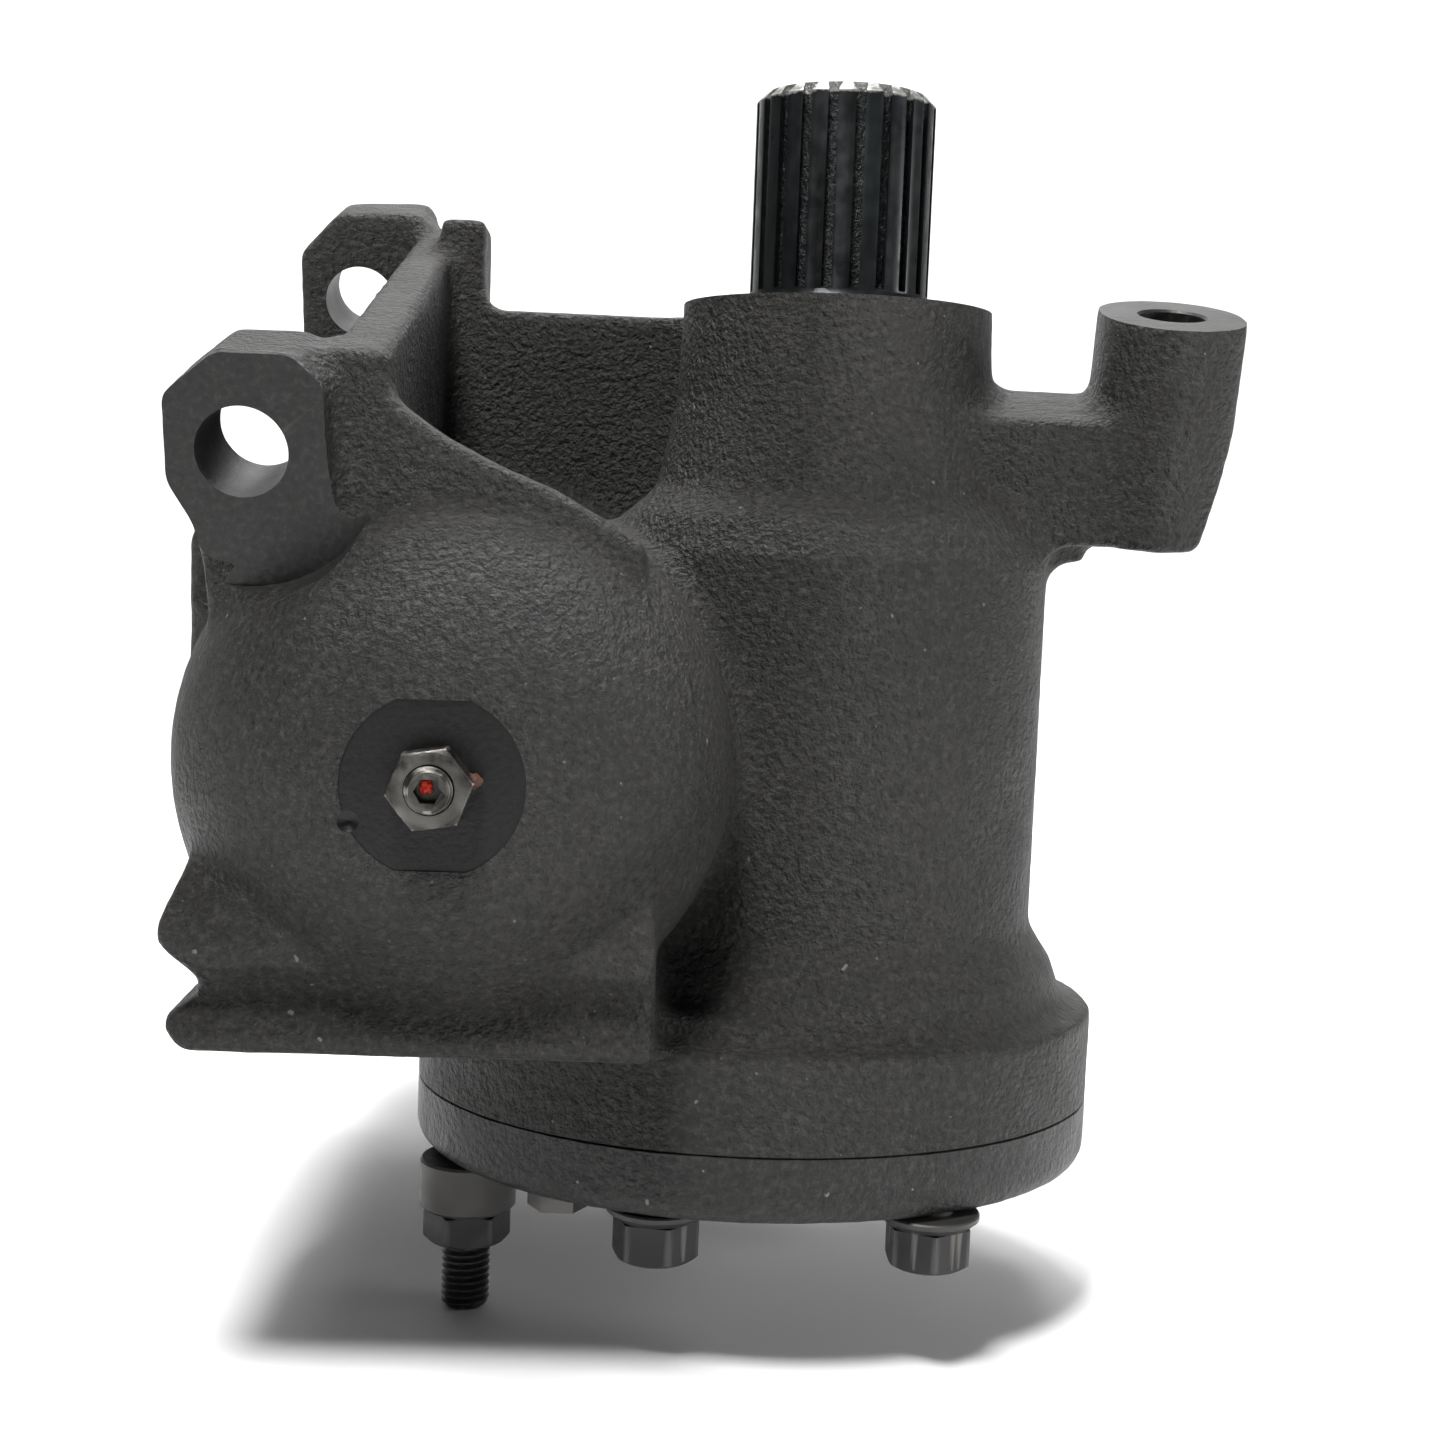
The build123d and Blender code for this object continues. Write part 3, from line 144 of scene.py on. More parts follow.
def hex_rows(flats, low, high, turn=0.0, ends=(True, True)):
    """Rows of a hexagonal body with 30 degree chamfers at its ends."""
    trimmed = hexed(flats, turn)
    corner = flats / 2 / cos(pi / 6)
    start = flats / 2 * 0.96
    drops = [step / 5 for step in range(6)]
    full = (corner - start) * tan(pi / 6)
    rows = []
    if ends[0]:
        rows += [(low + full * t, trimmed(start + (corner - start) * t)) for t in drops]
    else:
        rows.append((low, trimmed(corner)))
    if ends[1]:
        rows += [(high - full * t, trimmed(start + (corner - start) * t)) for t in drops[::-1]]
    else:
        rows.append((high, trimmed(corner)))
    return rows


def nut(origin, axis, flats, low, high, hole, turn=0.0):
    """A chamfered hexagon nut with a countersunk hole."""
    sink = 0.7
    inside = [(high, hole + sink), (high - sink, hole), (low + sink, hole), (low, hole + sink)]
    return turned(origin, axis, hex_rows(flats, low, high, turn) + inside, 120, True)


def flange_bolt(origin, axis, flats, flange_r, height, turn=0.0):
    """The head of a hexagon bolt with its flange, seated at the origin."""
    rows = [
        (0, flange_r - 0.4), (0.4, flange_r), (1.4, flange_r), (1.8, flange_r - 0.5),
        (3.0, flats * 0.56), (3.4, flats * 0.5),
    ]
    rows += hex_rows(flats, 3.4, height, turn, (False, True))
    rows += [(height, flats * 0.38), (height - 0.5, flats * 0.33)]
    return turned(origin, axis, rows, 120)


def threaded(origin, axis, radius, pitch, low, high, end_chamfer=1.0, steps=48):
    """A screw with a real helical thread along its whole length."""
    depth = 0.56 * pitch

    def crest(angle, along):
        phase = (along / pitch - angle / (2 * pi)) % 1
        cut = max(0.0, 1 - abs(phase - 0.5) / 0.42)
        near_end = min(along - low, high - along)
        return min(radius - depth * cut, radius - end_chamfer + near_end)

    count = int((high - low) / pitch * 9)
    rows = [(low + (high - low) * row / count, crest) for row in range(count + 1)]
    return turned(origin, axis, rows, steps)


def prism(origin, x_axis, axis, outline, low, high):
    """A straight solid on an outline given in mm in the plane square to its axis."""
    y_axis = Vector(axis).cross(Vector(x_axis))
    points = []
    for along in (low, high):
        for u, v in outline:
            local = Vector(x_axis) * u + y_axis * v + Vector(axis) * along
            points.append(Vector(origin) + local * MM)
    count = len(outline)
    faces = [
        (side, (side + 1) % count, (side + 1) % count + count, side + count)
        for side in range(count)
    ]
    faces.append(tuple(reversed(range(count))))
    faces.append(tuple(range(count, 2 * count)))
    return points, faces


def ellipse(a, b, x=0.0, steps=160):
    """An oval outline in mm."""
    turns = [2 * pi * step / steps for step in range(steps)]
    return [((x + a * cos(t)) / MM, b * sin(t) / MM) for t in turns]


def oval_groove(z, width, depth):
    """A V-shaped groove round the flange's edge, at a height in mm."""
    steps, outside = 200, -2.0
    section = [(-width, outside), (-width, 0.0), (0.0, depth), (width, 0.0), (width, outside)]
    points, faces = [], []
    for dz, inset in section:
        a, b = FLANGE_A / MM - inset, FLANGE_B / MM - inset
        for step in range(steps):
            angle = 2 * pi * step / steps
            place_x = FLANGE_X / MM + a * cos(angle)
            points.append(Vector((place_x, b * sin(angle), z + dz)) * MM)
    for row in range(len(section)):
        below, above = row * steps, (row + 1) % len(section) * steps
        for step in range(steps):
            beside = (step + 1) % steps
            faces.append((below + step, below + beside, above + beside, above + step))
    return points, faces


def mesh_of(name, solids):
    """One mesh that holds several closed solids."""
    points, faces = [], []
    for solid_points, solid_faces in solids:
        start = len(points)
        points += solid_points
        faces += [tuple(start + corner for corner in face) for face in solid_faces]
    mesh = bpy.data.meshes.new(name)
    mesh.from_pydata(points, [], faces)
    form = bmesh.new()
    form.from_mesh(mesh)
    bmesh.ops.recalc_face_normals(form, faces=form.faces)
    form.to_mesh(mesh)
    form.free()
    return mesh


def place(name, mesh):
    """Links a mesh into the scene as an object."""
    piece = bpy.data.objects.new(name, mesh)
    bpy.context.scene.collection.objects.link(piece)
    return piece


def settle(piece):
    """Applies a piece's modifiers to its mesh."""
    graph = bpy.context.evaluated_depsgraph_get()
    done = bpy.data.meshes.new_from_object(piece.evaluated_get(graph), depsgraph=graph)
    piece.modifiers.clear()
    piece.data = done
    return piece


# ---------------------------------------------------------------------------- materials


class Graph:
    """A material's node tree, built a node at a time."""

    def __init__(self, name):
        self.material = bpy.data.materials.new(name)
        self.material.use_nodes = True
        self.tree = self.material.node_tree
        self.shader = self.tree.nodes["Principled BSDF"]
        self.place = self.node("ShaderNodeTexCoord").outputs["Object"]

    def node(self, kind, links=None, **settings):
        node = self.tree.nodes.new(kind)
        for name, value in settings.items():
            setattr(node, name, value)
        for socket, value in (links or {}).items():
            if isinstance(value, bpy.types.NodeSocket):
                self.tree.links.new(value, node.inputs[socket])
            else:
                node.inputs[socket].default_value = value
        return node

    def noise(self, scale, detail=3.0, roughness=0.5, stretch=None):
        """Noise in object space, drawn out along an axis where a stretch is given."""
        place = self.place
        if stretch:
            place = self.node("ShaderNodeMapping", {0: place, "Scale": stretch}).outputs[0]
        links = {"Vector": place, "Scale": scale, "Detail": detail, "Roughness": roughness}
        return self.node("ShaderNodeTexNoise", links).outputs[0]

    def ranged(self, value, low, high, out_low=0.0, out_high=1.0):
        links = {0: value, 1: low, 2: high, 3: out_low, 4: out_high}
        return self.node("ShaderNodeMapRange", links, clamp=True).outputs[0]

    def mix(self, factor, first, second):
        node = self.node("ShaderNodeMix", data_type="RGBA")
        for socket, value in ((0, factor), (6, first), (7, second)):
            if isinstance(value, bpy.types.NodeSocket):
                self.tree.links.new(value, node.inputs[socket])
            elif socket:
                node.inputs[socket].default_value = (*value, 1)
            else:
                node.inputs[socket].default_value = value
        return node.outputs[2]

    def maths(self, operation, first, second=0.0):
        return self.node("ShaderNodeMath", {0: first, 1: second}, operation=operation).outputs[0]

    def worn(self, low, high):
        """1 on sharp outside edges, 0 elsewhere."""
        edge = self.node("ShaderNodeNewGeometry").outputs["Pointiness"]
        return self.ranged(edge, low, high)

    def bumps(self, layers):
        """Adds relief from (height, distance in mm, strength) layers."""
        normal = None
        for height, distance, strength in layers:
            links = {"Height": height, "Distance": distance * MM, "Strength": strength}
            if normal:
                links["Normal"] = normal
            normal = self.node("ShaderNodeBump", links).outputs[0]
        self.tree.links.new(normal, self.shader.inputs["Normal"])

    def finish(self, colour, roughness, metallic=0.0, specular=0.5):
        self.tree.links.new(colour, self.shader.inputs["Base Color"])
        self.tree.links.new(roughness, self.shader.inputs["Roughness"])
        self.shader.inputs["Metallic"].default_value = metallic
        self.shader.inputs["Specular IOR Level"].default_value = specular
        return self.material


def paint(name, dark, light, grain, shine, specks=0.0, spotface=False):
    """Semi-gloss paint over iron: grain is how far the cast skin shows through, in mm."""
    g = Graph(name)
    tone = g.mix(g.ranged(g.noise(14, 4), 0.35, 0.65), dark, light)
    fine = g.noise(640, 4, 0.6)
    tone = g.mix(g.ranged(fine, 0.52, 0.66, 0, 0.6), tone, [channel * 2.2 for channel in light])
    tone = g.mix(g.ranged(fine, 0.48, 0.34, 0, 0.7), tone, [channel * 0.35 for channel in dark])
    if specks:
        speck = g.ranged(g.noise(430, 1, 0.3), 0.80, 0.82, 0, specks)
        tone = g.mix(speck, tone, (0.25, 0.24, 0.22))
    tone = g.mix(g.maths("MULTIPLY", g.worn(0.57, 0.7), 0.3), tone, (0.12, 0.115, 0.105))
    if spotface:
        # the face under the lock nut is darker than the other machined faces
        axes = g.node("ShaderNodeSeparateXYZ", {0: g.place}).outputs
        in_front = g.maths("LESS_THAN", axes[1], SPOT_Y + 3 * MM)
        tone = g.mix(g.maths("MULTIPLY", in_front, 0.8), tone, (0.0045, 0.0042, 0.0042))
    rough = g.ranged(g.noise(55, 5), 0.3, 0.7, *shine)
    g.bumps([
        (g.ranged(g.noise(620, 4, 0.6), 0.3, 0.7), grain, 1.0),
        (g.noise(1500, 2, 0.6), grain * 0.3, 0.5),
        (g.noise(180, 3), grain * 1.6, 0.4),
    ])
    return g.finish(tone, rough, 0.0, 0.34)


def metal(name, dark, light, shine, grain=0.02, patch=60, stretch=None, metallic=1.0, wear=None):
    """Bare or treated metal: two tones in patches, fine relief, and worn edges."""
    g = Graph(name)
    tone = g.mix(g.ranged(g.noise(patch, 5, 0.6, stretch), 0.35, 0.65), dark, light)
    if wear:
        tone = g.mix(g.maths("MULTIPLY", g.worn(0.53, 0.62), 0.7), tone, wear)
    rough = g.ranged(g.noise(patch * 4, 4, 0.6, stretch), 0.3, 0.7, *shine)
    g.bumps([(g.noise(900, 3, 0.6, stretch), grain, 0.6), (g.noise(180, 3), grain * 3, 0.25)])
    return g.finish(tone, rough, metallic)


CAST_PAINT = paint("cast_paint", (0.0165, 0.016, 0.015), (0.026, 0.025, 0.0228), 1.2,
                   (0.4, 0.56), 0.6)
FACED_PAINT = paint("faced_paint", (0.0125, 0.0122, 0.0117), (0.0165, 0.016, 0.0152), 0.06,
                    (0.38, 0.5), spotface=True)
COVER_PAINT = paint("cover_paint", (0.0145, 0.0143, 0.0136), (0.021, 0.0205, 0.0195), 0.4,
                    (0.34, 0.5), 0.7)
BLACK = metal("black_fastener", (0.012, 0.012, 0.013), (0.03, 0.03, 0.031), (0.4, 0.6),
              metallic=0.4, wear=(0.16, 0.15, 0.14))
WORN = metal("worn_nut", (0.025, 0.023, 0.021), (0.12, 0.115, 0.105), (0.35, 0.6), 0.05, 160,
             wear=(0.42, 0.41, 0.39))
GROUND = metal("machined_steel", (0.3, 0.3, 0.3), (0.42, 0.42, 0.43), (0.2, 0.34), 0.01, 90,
               (1, 12, 1))
BEARING = metal("bearing_steel", (0.5, 0.5, 0.51), (0.62, 0.62, 0.63), (0.08, 0.18), 0.004)
SPRING = metal("spring_steel", (0.09, 0.085, 0.08), (0.2, 0.2, 0.2), (0.25, 0.4))
ZINC = metal("guide_zinc", (0.38, 0.36, 0.27), (0.55, 0.53, 0.43), (0.3, 0.45), 0.02, 40)
RUBBER = metal("seal_rubber", (0.012, 0.012, 0.012), (0.022, 0.022, 0.022), (0.5, 0.7), 0.04,
               metallic=0.0)
PTFE = metal("seal_ptfe", (0.045, 0.075, 0.06), (0.06, 0.095, 0.075), (0.4, 0.5), 0.01,
             metallic=0.0)
RED = metal("red_mark", (0.55, 0.02, 0.01), (0.7, 0.05, 0.02), (0.3, 0.45), 0.05, 700,
            metallic=0.0)
RUST = metal("rust", (0.035, 0.014, 0.009), (0.11, 0.04, 0.02), (0.7, 0.9), 0.2, 500,
             metallic=0.0)


def splined(name):
    """Blackened shaft steel: painted shade, mottled, in the splines' grooves, bare metal on the
    end chamfer.
    """
    g = Graph(name)
    axes = g.node("ShaderNodeSeparateXYZ", {0: g.place}).outputs
    squares = g.maths("ADD", g.maths("MULTIPLY", axes[0], axes[0]),
                      g.maths("MULTIPLY", axes[1], axes[1]))
    radius = g.maths("SQRT", squares)
    tone = g.mix(g.ranged(g.noise(120, 5, 0.6, (1, 1, 0.15)), 0.35, 0.65),
                 (0.006, 0.0075, 0.008), (0.018, 0.021, 0.022))
    # painted shade: the bottoms of the splines' grooves are coloured near-black, mottled
    in_groove = g.ranged(radius, 20.9 * MM, 22.0 * MM, 1, 0)
    groove_shade = g.mix(g.ranged(g.noise(900, 4, 0.7), 0.5, 0.62), (0.003, 0.003, 0.0035),
                 (0.03, 0.033, 0.03))
    tone = g.mix(in_groove, tone, groove_shade)
    ragged = g.maths("ADD", axes[2], g.maths("MULTIPLY", g.noise(330, 3), 2.6 * MM))
    bare = g.ranged(ragged, 51.0 * MM, 51.5 * MM)
    bare = g.maths("MULTIPLY", bare, g.ranged(radius, 19.9 * MM, 20.4 * MM))
    tone = g.mix(bare, tone, g.mix(g.noise(1400, 2), (0.2, 0.2, 0.19), (0.42, 0.42, 0.4)))
    rough = g.ranged(g.noise(240, 4), 0.3, 0.7, 0.26, 0.46)
    clods = g.maths("MULTIPLY", g.noise(700, 4, 0.7), in_groove)
    g.bumps([(clods, 0.9, 0.9), (g.noise(600, 3, 0.6, (1, 1, 0.2)), 0.05, 0.6)])
    return g.finish(tone, rough, 0.55)


SPLINED = splined("hardened_shaft")
LOOKS = {
    "housing_paint": CAST_PAINT, "machined_steel": GROUND, "hardened_shaft": SPLINED,
    "black_fastener": BLACK, "worn_nut": WORN, "bearing_steel": BEARING,
    "seal_rubber": RUBBER, "seal_ptfe": PTFE, "spring_steel": SPRING, "guide_zinc": ZINC,
}
FACED = 1                   # material slot of a casting's machined faces

for entry in frame["record"]["subparts"]:
    node = NODES[entry["node"]]
    node.data.materials.clear()
    node.data.materials.append(LOOKS[entry["material_slot"]])

# ---------------------------------------------------------------------------- castings
VOXEL = 1.1 * MM
REACH = 9                   # half width of the distance field, in voxels
SHRINK = 0.22               # keeps the uneven skin inside the CAD's own surface, in mm


def triangles(mesh):
    """A mesh's points and triangles as arrays."""
    mesh.calc_loop_triangles()
    points = np.empty(len(mesh.vertices) * 3, np.float32)
    mesh.vertices.foreach_get("co", points)
    corners = np.empty(len(mesh.loop_triangles) * 3, np.int32)
    mesh.loop_triangles.foreach_get("vertices", corners)
    return points.reshape(-1, 3), corners.reshape(-1, 3)


def regrow(points, tris, quads, offset):
    """The surface at a distance outside (or inside, if negative) of a closed one."""
    grid = vdb.FloatGrid.createLevelSetFromPolygons(
        points, triangles=tris, quads=quads,
        transform=vdb.createLinearTransform(voxelSize=VOXEL), halfWidth=REACH,
    )
    return grid.convertToQuads(isovalue=offset)


def band(value, middle, half):
    """1 in the middle of a band, falling to 0 at its edges."""
    return max(0.0, 1 - abs(value - middle) / half)


def skin_height(at):
    """How far the cast skin stands proud at a point, in mm."""
    height = noise.noise(at * 45) * 0.12 + noise.noise(at * 260) * 0.11
    x, y, z = at / MM
    # casting wrinkles on the front of the flange and of the foot block
    low_band = band(z, -186, 15) * band(x, -42, 45)
    foot_band = band(z, -160, 16) * band(x, -95, 50)
    if y < 0:
        streaks = noise.noise(Vector((x * 0.022, y * 0.022, z * 0.36)))
        height += streaks * (0.55 * low_band + 0.3 * foot_band)
    # parting line down the front of the arm lug
    if abs(x - ARM_LUG.x / MM - 4) < 0.9 and y < -22 and -22 < z < -2:
        height += 0.3
    return height


def cast(name, node, stock, fillet, rounding):
    """A cast form of a CAD node: stock fills its machined holes, inside corners get the
    fillet, edges get the rounding, and the skin is slightly uneven."""
    parts = [triangles(NODES[node].data)]
    parts.append(triangles(mesh_of("stock", stock)))
    starts = np.cumsum([0] + [len(points) for points, _ in parts])
    points = np.concatenate([points for points, _ in parts])
    tris = np.concatenate([tris + start for (_, tris), start in zip(parts, starts)])
    no_quads = np.empty((0, 4), np.int32)
    no_tris = np.empty((0, 3), np.int32)
    points, quads = regrow(points, tris, no_quads, fillet * MM)
    for offset in (-(fillet + rounding), rounding - SHRINK):
        points, quads = regrow(points, no_tris, quads, offset * MM)
    mesh = bpy.data.meshes.new(name)
    mesh.from_pydata(points.tolist(), [], quads[:, ::-1].tolist())
    form = bmesh.new()
    form.from_mesh(mesh)
    for _ in range(2):
        bmesh.ops.smooth_vert(
            form, verts=form.verts, factor=0.5, use_axis_x=True, use_axis_y=True, use_axis_z=True
        )
    form.normal_update()
    moves = [vert.normal * skin_height(vert.co) * MM for vert in form.verts]
    for vert, move in zip(form.verts, moves):
        vert.co += move
    bmesh.ops.recalc_face_normals(form, faces=form.faces)
    form.to_mesh(mesh)
    form.free()
    return place(name, mesh)


def machine(piece, cutters, looks):
    """Cuts the machined faces, bores and holes into a casting. They take its second look."""
    for look in looks:
        piece.data.materials.append(look)
    for number, cutter in enumerate(cutters):
        tool = place(f"tool_{number}", mesh_of(f"tool_{number}", [cutter]))
        for look in looks:
            tool.data.materials.append(look)
        tool.data.polygons.foreach_set("material_index", [FACED] * len(tool.data.polygons))
        cut = piece.modifiers.new(f"cut_{number}", "BOOLEAN")
        cut.operation = "DIFFERENCE"
        cut.solver = "MANIFOLD"
        cut.object = tool
        settle(piece)
        bpy.data.objects.remove(tool)
    return piece


def smooth(piece, angle=38):
    """Smooth shading with the sharp edges kept."""
    mesh = piece.data
    mesh.polygons.foreach_set("use_smooth", [True] * len(mesh.polygons))
    mesh.set_sharp_from_angle(angle=radians(angle))
    return piece


def finish_piece(piece, body, slot, *nodes):
    """Shades a piece, hides the CAD nodes it stands in for and hangs it on its body."""
    smooth(piece)
    if nodes:
        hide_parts(*nodes)
    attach(piece, body)
    return piece


shaft = Vector((0, 0, 0))
cylinder = Vector((CYL_X, 0, CYL_Z))
UP, BACK = Vector((0, 0, 1)), Vector((0, 1, 0))
joint = JOINT_Z / MM
back = BACK_Y / MM
spot = SPOT_Y / MM
cover_low = COVER_LOW / MM
flange_outline = ellipse(FLANGE_A, FLANGE_B, FLANGE_X)
whole_outline = ellipse(0.12, 0.12)

COVER_SCREWS = [(58, 18), (26, 56), (26, -56), (-38.5, 56), (-38.5, -56), (-85, 22)]
VALVE_CIRCLE_R = 57
valve_turns = [radians(30 + 60 * step) for step in range(6)]
VALVE_SCREWS = [
    Vector((VALVE_CIRCLE_R * cos(t), 0, VALVE_CIRCLE_R * sin(t))) * MM for t in valve_turns
]

# the face under the lock nut is a disc with a flat top and bottom
SPOT_R, SPOT_HALF = 19.4, 17.9
spot_turns = [2 * pi * step / 160 for step in range(160)]
SPOT_OUTLINE = [
    (SPOT_R * cos(t), max(-SPOT_HALF, min(SPOT_HALF, SPOT_R * sin(t)))) for t in spot_turns
]
DRILL_NICK = cylinder + Vector((-17.2, 0, -8)) * MM

# radii of the machined surfaces and holes, in mm
BEARING_R, CAVITY_R = 31, 49
BORE_R, BORE_END_R = 50, 43
LUG_HOLE_R, LUG_FACING_R = 10, 30
ARM_HOLE_R, ARM_FACING_R = 8, 26
LIMIT_HOLE_R, NICK_R = 5.05, 2.3
COVER_HOLE_R, VALVE_HOLE_R, WASHER_FACE_R = 6.05, 5.05, 13
SEAL_BORE_R = 29.05

housing_cutters = [
    turned(shaft, UP, [(6, BEARING_R), (-52, BEARING_R), (-72, CAVITY_R),
                       (joint - 12, CAVITY_R)]),
    turned(cylinder, BACK, [(-85, BORE_END_R), (-77, BORE_R), (back + 12, BORE_R)]),
    prism(shaft, (1, 0, 0), UP, whole_outline, joint - 30, joint),
    rod(cylinder, BACK, 90, back, back + 30),
    rod(shaft, UP, 45, 0, 12),
    rod(NEAR_LUG, -BORE_AXIS, LUG_FACING_R, 0, 20),
    rod(NEAR_LUG, BORE_AXIS, LUG_HOLE_R, -5, 45),
    rod(FAR_LUG, BORE_AXIS, LUG_HOLE_R, -20, 40),
    rod(ARM_LUG, ARM_AXIS, ARM_FACING_R, 0, 14),
    turned(ARM_LUG, ARM_AXIS, [(10, 18.6), (0.01, 8.6), (-0.6, ARM_HOLE_R), (-75, ARM_HOLE_R)]),
    prism(cylinder, (1, 0, 0), BACK, SPOT_OUTLINE, spot - 10, spot),
    turned(cylinder, BACK, [(spot - 5, 5.9), (spot + 0.8, LIMIT_HOLE_R), (-80, LIMIT_HOLE_R)]),
    turned(DRILL_NICK, BACK, [(spot - 3, NICK_R), (spot + 0.5, NICK_R), (spot + 1.6, 0.2)], 32),
]
housing_stock = [
    turned(shaft, UP, [(0, 32), (-50, 32), (-70, 50), (joint - 5, 50)]),
    turned(cylinder, BACK, [(-86, 40), (-78, 50.5), (back + 5, 50.5)]),
    rod(cylinder, BACK, 64, back - 4, back + 5),
    rod(shaft, UP, 39.2, -2, 5),
    prism(shaft, (1, 0, 0), UP, flange_outline, joint - 5, joint + 4),
    prism(NEAR_LUG, (1, 0, 0), -BORE_AXIS, NEAR_OUTLINE[:5] + [(18.5, -20), (-9, -20)], -24, 6),
    rod(FAR_LUG, BORE_AXIS, 11, 1, 24),
    rod(ARM_LUG, ARM_AXIS, 8.6, -54.5, -10),
    rod(ARM_LUG, ARM_AXIS, 17.6, -20, 5),
    rod(cylinder, BACK, 8, spot + 1, -84),
    prism(cylinder, (1, 0, 0), BACK, SPOT_OUTLINE, spot - 0.5, spot + 4),
]
for x, y in COVER_SCREWS + [STUD / MM]:
    at = Vector((x, y, 0)) * MM
    housing_stock.append(rod(at, UP, 7, joint - 2, joint + 20))
    housing_cutters.append(rod(at, UP, COVER_HOLE_R, joint - 5, joint + 19, 32))
for at in VALVE_SCREWS:
    housing_stock.append(rod(cylinder + at, BACK, 6, back - 22, back + 3))
    housing_cutters.append(rod(cylinder + at, BACK, VALVE_HOLE_R, back - 22, back + 6, 32))

housing = cast("housing_casting", "gear_housing", housing_stock, 4, 1.6)
machine(housing, housing_cutters + [oval_groove(joint, 0.4, 0.75)], [CAST_PAINT, FACED_PAINT])
finish_piece(housing, "housing", "housing_paint", "gear_housing")

COVER_TOP = joint - 0.12    # a hair under the joint, so that the joint shows
cover_cutters = [
    turned(shaft, UP, [(COVER_TOP, 130), (COVER_TOP, 48.7), (-130, 48.7), (-130, 130)], 160),
    turned(shaft, UP, [(-120, SEAL_BORE_R), (-191, SEAL_BORE_R)]),
    rod(shaft, UP, COVER_HOLE_R, cover_low - 5, joint + 20, 32),
]
cover_stock = [
    rod(shaft, UP, 30, cover_low + 4, -143),
    prism(shaft, (1, 0, 0), UP, flange_outline, joint - 4, joint + 6),
]
for x, y in COVER_SCREWS + [STUD / MM]:
    at = Vector((x, y, 0)) * MM
    cover_stock.append(rod(at, UP, 7, cover_low + 1, joint - 1))
    cover_cutters.append(rod(at, UP, COVER_HOLE_R, cover_low - 5, joint + 5, 32))
    cover_cutters.append(rod(at, UP, WASHER_FACE_R, cover_low - 8, cover_low + 0.3, 96))
cover_cutters.append(oval_groove(joint - 0.1, 0.45, 0.75))
cover = cast("side_cover_casting", "side_cover", cover_stock, 3, 2.5)
machine(cover, cover_cutters, [COVER_PAINT, FACED_PAINT])
finish_piece(cover, "housing", "housing_paint", "side_cover")

# ----------------------------------------------------------------- screws, stud and nuts


def piece_of(name, solids, look, body, slot, *nodes):
    """A finished piece made of closed solids."""
    piece = place(name, mesh_of(name, solids))
    piece.data.materials.append(look)
    return finish_piece(piece, body, slot, *nodes)


DOWN = -UP
stud_at = Vector((STUD.x, STUD.y, 0))
heads = []
for number, (x, y) in enumerate(COVER_SCREWS):
    seat = Vector((x, y, cover_low)) * MM
    heads.append(flange_bolt(seat, DOWN, 18.2, 12, 13, radians(11 + 23 * number)))
    heads.append(rod(seat, UP, 5.9, -0.5, 34, 32))
piece_of("cover_bolt_set", heads, BLACK, "housing", "black_fastener", "side_cover_bolts")

stud_tip = span("cover_stud", Z)[0] / MM
collar_low, collar_high = (edge / MM for edge in span("stud_collar", Z))
nut_low, nut_high = (edge / MM for edge in span("stud_nut", Z))
piece_of(
    "cover_stud_screw",
    [threaded(stud_at, UP, 6, 1.75, stud_tip, joint + 18, 1.4)],
    BLACK, "housing", "black_fastener", "cover_stud",
)
piece_of(
    "stud_collar_ring",
    [turned(stud_at, UP, [(collar_low, 11.2), (collar_low + 0.8, 12), (collar_high - 0.6, 12),
                          (collar_high, 11.5), (collar_high, 6.1), (collar_low, 6.1)], 96, True)],
    BLACK, "housing", "black_fastener", "stud_collar",
)
piece_of(
    "stud_hex_nut", [nut(stud_at, UP, 19, nut_low, nut_high, 5.6, radians(8))],
    BLACK, "housing", "black_fastener", "stud_nut",
)
lock_low, lock_high = (edge / MM for edge in span("backlash_lock_nut", Z))
piece_of(
    "adjuster_lock_nut", [nut(shaft, UP, 19, lock_low, lock_high, 5.6, radians(20))],
    BLACK, "housing", "black_fastener", "backlash_lock_nut",
)

FRONT = -BACK
limit_low, limit_high = (edge / MM for edge in span("limit_lock_nut", Y))
screw_low, screw_high = (edge / MM for edge in span("limit_screw", Y))
piece_of(
    "limit_hex_nut",
    [nut(cylinder, FRONT, 16, -limit_high, -limit_low, 4.6, radians(9))],
    WORN, "housing", "worn_nut", "limit_lock_nut",
)
limit_screw = place("limit_set_screw", mesh_of(
    "limit_set_screw", [threaded(cylinder, FRONT, 5, 1.5, -screw_high, -screw_low, 1.0)]))
machine(limit_screw, [turned(cylinder, FRONT, hex_rows(5, -screw_low - 3, -screw_low + 4, 0,
                                                      (False, False)), 60)], [WORN, WORN])
finish_piece(limit_screw, "housing", "worn_nut", "limit_screw")


def lump(name, at, size, look, slot, seed):
    """A small uneven blob."""
    form = bmesh.new()
    bmesh.ops.create_icosphere(form, subdivisions=4, radius=1)
    for vert in form.verts:
        swell = 1 + 0.35 * noise.noise(vert.co * 1.7 + Vector((seed, 0, 0)))
        vert.co = Vector(at) + Vector([c * s * swell * MM for c, s in zip(vert.co, size)])
    mesh = bpy.data.meshes.new(name)
    form.to_mesh(mesh)
    form.free()
    piece = place(name, mesh)
    mesh.materials.append(look)
    finish_piece(piece, "housing", slot)


tip = Vector((CYL_X, screw_low * MM, CYL_Z))
lump("red_paint_mark", tip + Vector((-0.6, 2.6, 0.6)) * MM, (1.5, 0.7, 1.4), RED, "worn_nut", 3)
lump("rust_crumb", cylinder + Vector((8.8, spot - 2, 1.6)) * MM, (1.6, 1.6, 1.5), RUST,
     "worn_nut", 8)

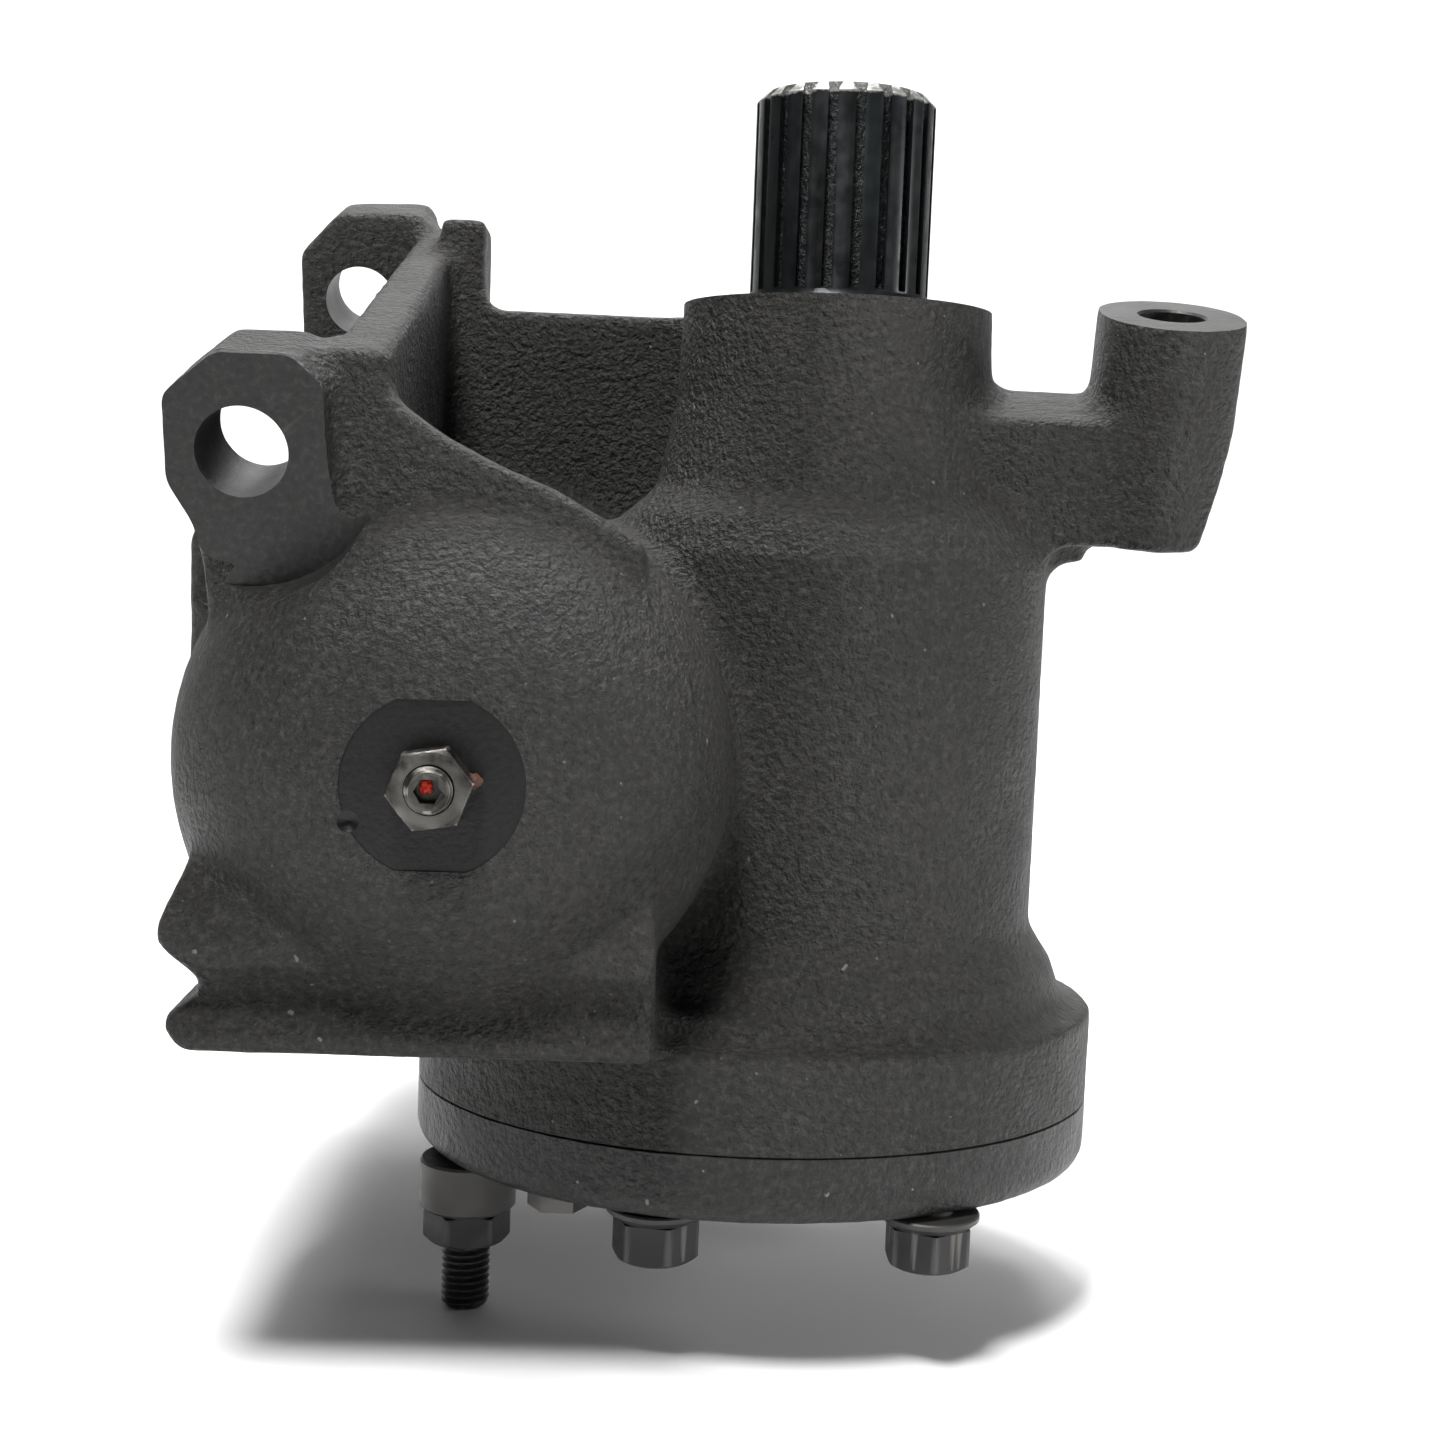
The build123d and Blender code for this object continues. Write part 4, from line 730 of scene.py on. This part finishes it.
# ------------------------------------------------------- bevels on the CAD's own shapes
CAST_EDGE, TURNED_EDGE = 0.5 * MM, 0.16 * MM
for name in ("sector_shaft", "cover_plug", "backlash_screw", "bleed_screw", "relief_valve_plug",
             "valve_housing_bolts", "input_shaft", "input_dust_cover", "valve_housing",
             "rack_piston", "worm_shaft", "dust_seal"):
    node = NODES[name]
    weld = node.modifiers.new("weld", "WELD")
    weld.merge_threshold = 0.001 * MM
    bevel = node.modifiers.new("bevel", "BEVEL")
    bevel.width = CAST_EDGE if name == "valve_housing" else TURNED_EDGE
    bevel.segments = 2
    bevel.limit_method = "ANGLE"
    bevel.angle_limit = radians(30)
    bevel.use_clamp_overlap = True

# ------------------------------------------------------------------- camera and lights
CAMERA_AT = Vector((-44.24, -520.65, -54.7)) * MM
YAW, PITCH, ROLL = radians(2.09), radians(-5.61), radians(2.19)
LENS = 50.5                 # mm, on a 36 mm sensor

look = Vector((sin(YAW) * cos(PITCH), cos(YAW) * cos(PITCH), sin(PITCH)))
camera = bpy.data.objects.new("camera", bpy.data.cameras.new("camera"))
camera.data.lens = LENS
camera.data.clip_start = 0.01
camera.location = CAMERA_AT
facing = look.to_track_quat("-Z", "Y").to_matrix()
camera.rotation_euler = (facing @ Matrix.Rotation(ROLL, 3, "Z")).to_euler()
bpy.context.scene.collection.objects.link(camera)
bpy.context.scene.camera = camera


def lamp(name, at, aim, size, power):
    """A soft square lamp aimed at a point."""
    light = bpy.data.lights.new(name, "AREA")
    light.shape = "SQUARE"
    light.size = size
    light.energy = power
    holder = bpy.data.objects.new(name, light)
    holder.location = at
    holder.rotation_euler = (Vector(aim) - Vector(at)).to_track_quat("-Z", "Y").to_euler()
    bpy.context.scene.collection.objects.link(holder)


MIDDLE = (-0.05, 0, -0.1)
lamp("key_lamp", (-0.25, -0.55, 1.0), MIDDLE, 0.25, 21)
lamp("right_lamp", (1.1, -0.2, 0.1), MIDDLE, 0.3, 6)
lamp("top_lamp", (-0.1, 0.2, 1.1), MIDDLE, 0.3, 10)
lamp("floor_lamp", (0.0, 1.3, 2.2), (0.0, 1.0, 0.0), 1.6, 40)
lamp("backdrop_lamp", (0.0, 0.9, 1.8), (0.0, 2.8, 0.7), 1.6, 45)

world = bpy.data.worlds.new("world")
world.use_nodes = True
world.node_tree.nodes["Background"].inputs[0].default_value = (1.0, 1.0, 1.0, 1)
world.node_tree.nodes["Background"].inputs[1].default_value = 0.05
bpy.context.scene.world = world
bpy.context.scene.view_settings.view_transform = "Standard"

# a pale floor that curves up behind into a backdrop
FLOOR_Z = CAD_BOX[0][Z] - 0.3 * MM
SWEEP_Y, SWEEP_R, WALL_TOP, HALF = 1.6, 1.2, 4.0, 6.0
route = [(-4.0, FLOOR_Z), (SWEEP_Y, FLOOR_Z)]
route += [
    (SWEEP_Y + SWEEP_R * sin(radians(step)), FLOOR_Z + SWEEP_R * (1 - cos(radians(step))))
    for step in range(6, 91, 6)
]
route.append((SWEEP_Y + SWEEP_R, WALL_TOP))
floor_mesh = bpy.data.meshes.new("floor")
floor_mesh.from_pydata(
    [(side * HALF, y, z) for y, z in route for side in (-1, 1)], [],
    [(2 * row, 2 * row + 1, 2 * row + 3, 2 * row + 2) for row in range(len(route) - 1)],
)
floor = place("floor", floor_mesh)
smooth(floor, 60)
g = Graph("floor_paper")
floor_mesh.materials.append(g.finish(
    g.mix(g.noise(3), (0.86, 0.86, 0.86), (0.9, 0.9, 0.9)),
    g.ranged(g.noise(40), 0.3, 0.7, 0.8, 0.9), 0.0, 0.2,
))
